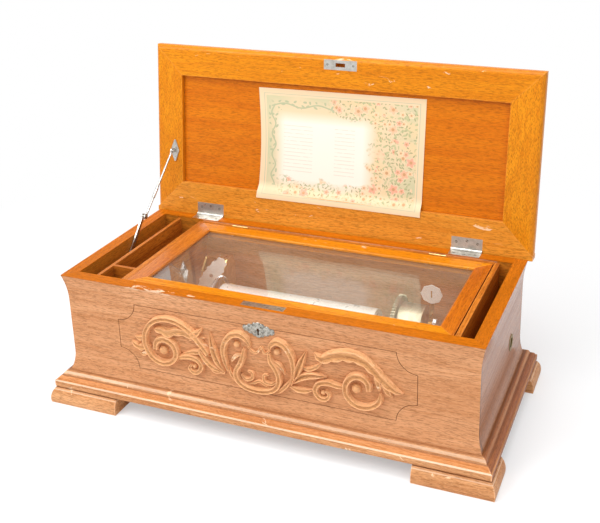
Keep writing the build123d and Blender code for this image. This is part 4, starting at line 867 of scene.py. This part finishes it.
# ---- keyhole plate ----
class MUSICBOX_OT_escutcheon(bpy.types.Operator):
    """Shape the cast keyhole plate with its rim of leaves"""
    bl_idname = "music_box.escutcheon"
    bl_label = "Keyhole plate"

    def execute(self, context):
        low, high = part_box("keyhole_escutcheon")
        middle, half_size = (low + high) / 2, (high - low) / 2
        quarter = [(1.0, 0.0), (0.97, 0.24), (0.88, 0.40), (0.78, 0.34), (0.70, 0.38), (0.64, 0.56),
                   (0.52, 0.64), (0.42, 0.58), (0.36, 0.70), (0.30, 0.86), (0.20, 0.84), (0.13, 0.90),
                   (0.06, 1.0)]
        half = quarter + [(0.0, 0.96)] + [(-x, z) for x, z in reversed(quarter)]
        outline = half + [(x, -z) for x, z in reversed(half[1:-1])]
        rings = ((1.0, 0.0), (1.0, 0.7), (0.92, 1.5), (0.8, 1.25), (0.62, 1.5), (0.5, 2.0), (0.36, 1.9))
        plate = skin("keyhole_plate", [
            [(middle.x + half_size.x * share * x, high.y - (rise + 0.2) * MM,
              middle.z + half_size.z * share * z) for x, z in outline]
            for share, rise in rings])
        x, eye_z, foot_z = middle.x / MM, 174.5, 166.8
        cut(plate, add_rod("hole", (x, middle.y / MM, eye_z), 2.4, 12, "Y"))
        cut(plate, add_box("slot", (x - 1.2, low.y / MM - 5, foot_z), (x + 1.2, low.y / MM + 8, eye_z)))
        smooth(plate, 40)
        give(plate, metal("Dark nickel", (0.44, 0.42, 0.37, 1), (0.07, 0.065, 0.055, 1), 0.3, 320.0, 1.0,
                          patch=300.0),
             "case")
        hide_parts("keyhole_escutcheon")
        return {"FINISHED"}


# ---- screws ----
def slotted_head(radius, rise, turn):
    """A low round head with a slot, lying on the XY plane."""
    head = add_rod("head", (0, 0, rise / 2 - 0.2), radius, rise + 0.4, "Z")
    cutter = add_box("cutter", (-radius * 2, -radius * 0.14, rise - min(0.5, rise + 0.1)),
                     (radius * 2, radius * 0.14, rise + 2))
    cutter.rotation_euler = (0, 0, turn)
    cut(head, settle(cutter, "cutter"))
    return head


def set_screws(name, body, material, places, facing, radius):
    """Slotted heads at points in millimetres, facing a direction."""
    rng = random.Random(name)
    turned = Vector(facing).to_track_quat("Z", "Y").to_matrix().to_4x4()
    heads = []
    for place in places:
        head = slotted_head(radius, 0.1, rng.uniform(0, math.pi))
        head.data.transform(Matrix.Translation([c * MM for c in place]) @ turned)
        heads.append(head)
    piece = join(name, heads)
    smooth(piece, 35)
    give(piece, material, body)


class MUSICBOX_OT_screws(bpy.types.Operator):
    """Set slotted screws in the hinges, the lock and the strike plate"""
    bl_idname = "music_box.screws"
    bl_label = "Screws"

    def execute(self, context):
        steel = metal("Screw steel", settings()[0].nickel_dark, (0.14, 0.12, 0.10, 1), 0.4)
        up = (0, 0, 1)
        down = Vector((0, *opened(0, -1))) - Vector((0, *opened(0, 0)))
        hinge_x, spacing, hinge_y, middle_y = 227, 17, 132.5, 129.5
        lock_x, lock_y, rim_z, lid_z = 6, -131, 210.0, 210.4
        leaf, rim, strike, lock = [], [], [], []
        for side in (-1, 1):
            for step in (-1, 0, 1):
                x, y = side * hinge_x + step * spacing, hinge_y if step else middle_y
                leaf.append((x, *opened(y, lid_z)))
                rim.append((x, y, rim_z))
            strike.append((lock_x + side * 22, *opened(lock_y, lid_z)))
            lock.append((lock_x + side * 26, lock_y, rim_z))
        set_screws("lid_hinge_screws", "lid", steel, leaf, down, 2.3)
        set_screws("rim_hinge_screws", "case", steel, rim, up, 2.3)
        set_screws("strike_screws", "lid", steel, strike, down, 1.9)
        set_screws("lock_screws", "case", steel, lock, up, 2.0)
        return {"FINISHED"}


# ---- movement ----
class MUSICBOX_OT_pins(bpy.types.Operator):
    """Stud the cylinder with the rows of pins that play the comb"""
    bl_idname = "music_box.pins"
    bl_label = "Cylinder pins"

    def execute(self, context):
        sizes = settings()[1]
        rng = random.Random(72)
        low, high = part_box("cylinder_drum")
        middle, radius = (low + high) / 2, (high.z - low.z) / 2
        first, comb_width, teeth, pins_per_tooth, sunk = -130, 250, 72, 20, 0.4
        deselect()
        bpy.ops.mesh.primitive_cone_add(vertices=5, radius1=sizes.spike_radius * MM,
                                        radius2=sizes.spike_radius * 0.4 * MM,
                                        depth=(sizes.spike_height + sunk) * MM)
        spike = bpy.context.object
        corners = [vertex.co.copy() for vertex in spike.data.vertices]
        sides = [tuple(face.vertices) for face in spike.data.polygons]
        bpy.data.objects.remove(spike)
        lift = Matrix.Translation((0, 0, radius + (sizes.spike_height - sunk) / 2 * MM))
        points, faces = [], []
        for tooth in range(teeth):
            for _ in range(pins_per_tooth):
                x = (first + (tooth + 0.5) * comb_width / teeth + rng.choice((-0.9, -0.3, 0.3, 0.9))) * MM
                turn = Matrix.Rotation(rng.uniform(0, 2 * math.pi), 4, "X") @ lift
                start = len(points)
                for spot in (turn @ corner for corner in corners):
                    points.append((x + spot.x, middle.y + spot.y, middle.z + spot.z))
                faces.extend(tuple(start + index for index in face) for face in sides)
        piece = mesh_piece("cylinder_pins", points, faces)
        give(piece, metal("Pin steel", (0.80, 0.77, 0.70, 1), (0.50, 0.46, 0.38, 1), 0.3),
             "cylinder")
        return {"FINISHED"}


class MUSICBOX_OT_thread(bpy.types.Operator):
    """Wind the endless screw's thread on the upright arbor"""
    bl_idname = "music_box.thread"
    bl_label = "Endless screw"

    def execute(self, context):
        x, y = JOINTS["fly_spin"]["pos_m"][:2]
        low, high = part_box("governor_wheel")
        wheel_z = (low.z + high.z) / 2
        pitch, turns, steps = math.pi * MM, 7, 24
        profile = ((1.9, -0.55), (3.4, -0.25), (3.4, 0.25), (1.9, 0.55))
        rings = []
        for index in range(turns * steps + 1):
            angle = 2 * math.pi * index / steps
            height = wheel_z + pitch * (index / steps - turns / 2)
            rings.append([(x + radius * MM * math.sin(angle), y - radius * MM * math.cos(angle),
                           height + shift * MM) for radius, shift in profile])
        piece = skin("endless_screw", rings)
        smooth(piece, 40)
        give(piece, metal("Screw thread", settings()[0].steel, (0.36, 0.35, 0.34, 1), 0.25),
             "fly")
        return {"FINISHED"}


# ---- stage ----
class MUSICBOX_OT_stage(bpy.types.Operator):
    """Set the pale floor, the soft lights and the camera"""
    bl_idname = "music_box.stage"
    bl_label = "Stage"

    def execute(self, context):
        scene = context.scene
        scene.view_settings.view_transform = "Standard"
        deselect()
        bpy.ops.mesh.primitive_plane_add(size=12, location=(0, 0, -0.0002))
        floor = bpy.context.object
        floor.name = "floor"
        tree = Tree("Pale floor")
        tree.shade({"Base Color": grey(0.9), "Roughness": 0.9})
        glow = tree.add("ShaderNodeEmission", {"Color": grey(1.0), "Strength": 1.0})
        path = tree.add("ShaderNodeLightPath")
        away = tree.add("ShaderNodeVectorMath", {0: tree.coords()}, operation="LENGTH").outputs["Value"]
        share = tree.all_of(path.outputs["Is Camera Ray"], tree.band(away, 0.45, 1.1, 0.4, 1.0))
        tree.show(share, tree.shader, glow)
        floor.data.materials.append(tree.owner)
        self.backdrop(scene)
        self.lights()
        self.camera(scene)
        return {"FINISHED"}

    def backdrop(self, scene):
        """A white room for the camera, glass and metal, and a softer one for the rest."""
        tree = Tree("Room", "worlds", "Background", "World Output")
        tree.shade({"Color": (0.95, 0.97, 1.0, 1), "Strength": 0.62})
        white = tree.add("ShaderNodeBackground", {"Color": grey(1.0), "Strength": 1.0})
        path = tree.add("ShaderNodeLightPath").outputs
        seen = tree.any_of(path["Is Camera Ray"], path["Is Transmission Ray"], path["Is Glossy Ray"])
        tree.show(seen, tree.shader, white)
        scene.world = tree.owner

    def lights(self):
        """Three large soft lamps: high on the left, low on the right and overhead."""
        for name, place, size, power, aim in (
                ("key", (-1.1, -1.3, 1.9), 1.4, 34.0, (0, 0, 0.15)),
                ("fill", (1.5, -1.2, 1.1), 1.6, 8.0, (0, 0, 0.15)),
                ("top", (0.1, -0.2, 2.2), 1.2, 26.0, (0, 0, 0.1))):
            deselect()
            bpy.ops.object.light_add(type="AREA", location=place)
            lamp = bpy.context.object
            lamp.name = name
            lamp.data.shape = "DISK"
            lamp.data.size = size
            lamp.data.energy = power
            lamp.rotation_euler = (Vector(aim) - Vector(place)).to_track_quat("-Z", "Y").to_euler()

    def camera(self, scene):
        """The camera at the photograph's viewing angle."""
        turn, rise, roll = math.radians(20.82), math.radians(19.29), math.radians(-0.64)
        back = Vector((math.sin(turn) * math.cos(rise), -math.cos(turn) * math.cos(rise),
                       math.sin(rise)))
        right = Vector((math.cos(turn), math.sin(turn), 0))
        up = back.cross(right)
        right, up = (right * math.cos(roll) + up * math.sin(roll),
                     up * math.cos(roll) - right * math.sin(roll))
        deselect()
        bpy.ops.object.camera_add(location=(0.54651, -1.19611, 0.82865))
        camera = bpy.context.object
        camera.name = "camera"
        camera.rotation_euler = Matrix((right, up, back)).transposed().to_euler()
        camera.data.lens = 57.01
        camera.data.sensor_width = 36
        camera.data.shift_x = -0.0870
        camera.data.shift_y = -0.1561
        camera.data.clip_start = 0.05
        scene.camera = camera


# ---- panel and running ----
OPERATORS = (MUSICBOX_OT_woods, MUSICBOX_OT_metals, MUSICBOX_OT_glass, MUSICBOX_OT_carving,
             MUSICBOX_OT_escutcheon, MUSICBOX_OT_card, MUSICBOX_OT_screws, MUSICBOX_OT_pins,
             MUSICBOX_OT_thread, MUSICBOX_OT_stage)


class MUSICBOX_PT_panel(bpy.types.Panel):
    """The steps that dress the music box"""
    bl_idname = "MUSICBOX_PT_panel"
    bl_label = "Music box"
    bl_space_type = "VIEW_3D"
    bl_region_type = "UI"
    bl_category = "Music box"

    def draw(self, context):
        for operator in OPERATORS:
            self.layout.operator(operator.bl_idname)
        for group in settings():
            box = self.layout.box()
            for name in type(group).__annotations__:
                box.prop(group, name)


CLASSES = (MusicBoxFinishes, MusicBoxSizes) + OPERATORS + (MUSICBOX_PT_panel,)


def register():
    """Register the classes and the scene's settings."""
    for item in CLASSES:
        bpy.utils.register_class(item)
    bpy.types.Scene.music_box_finishes = bpy.props.PointerProperty(type=MusicBoxFinishes)
    bpy.types.Scene.music_box_sizes = bpy.props.PointerProperty(type=MusicBoxSizes)


def unregister():
    """Undo register."""
    del bpy.types.Scene.music_box_sizes
    del bpy.types.Scene.music_box_finishes
    for item in reversed(CLASSES):
        bpy.utils.unregister_class(item)


def main():
    """Dress the box."""
    register()
    for operator in OPERATORS:
        area, name = operator.bl_idname.split(".")
        getattr(getattr(bpy.ops, area), name)()


if __name__ == "__main__":
    main()
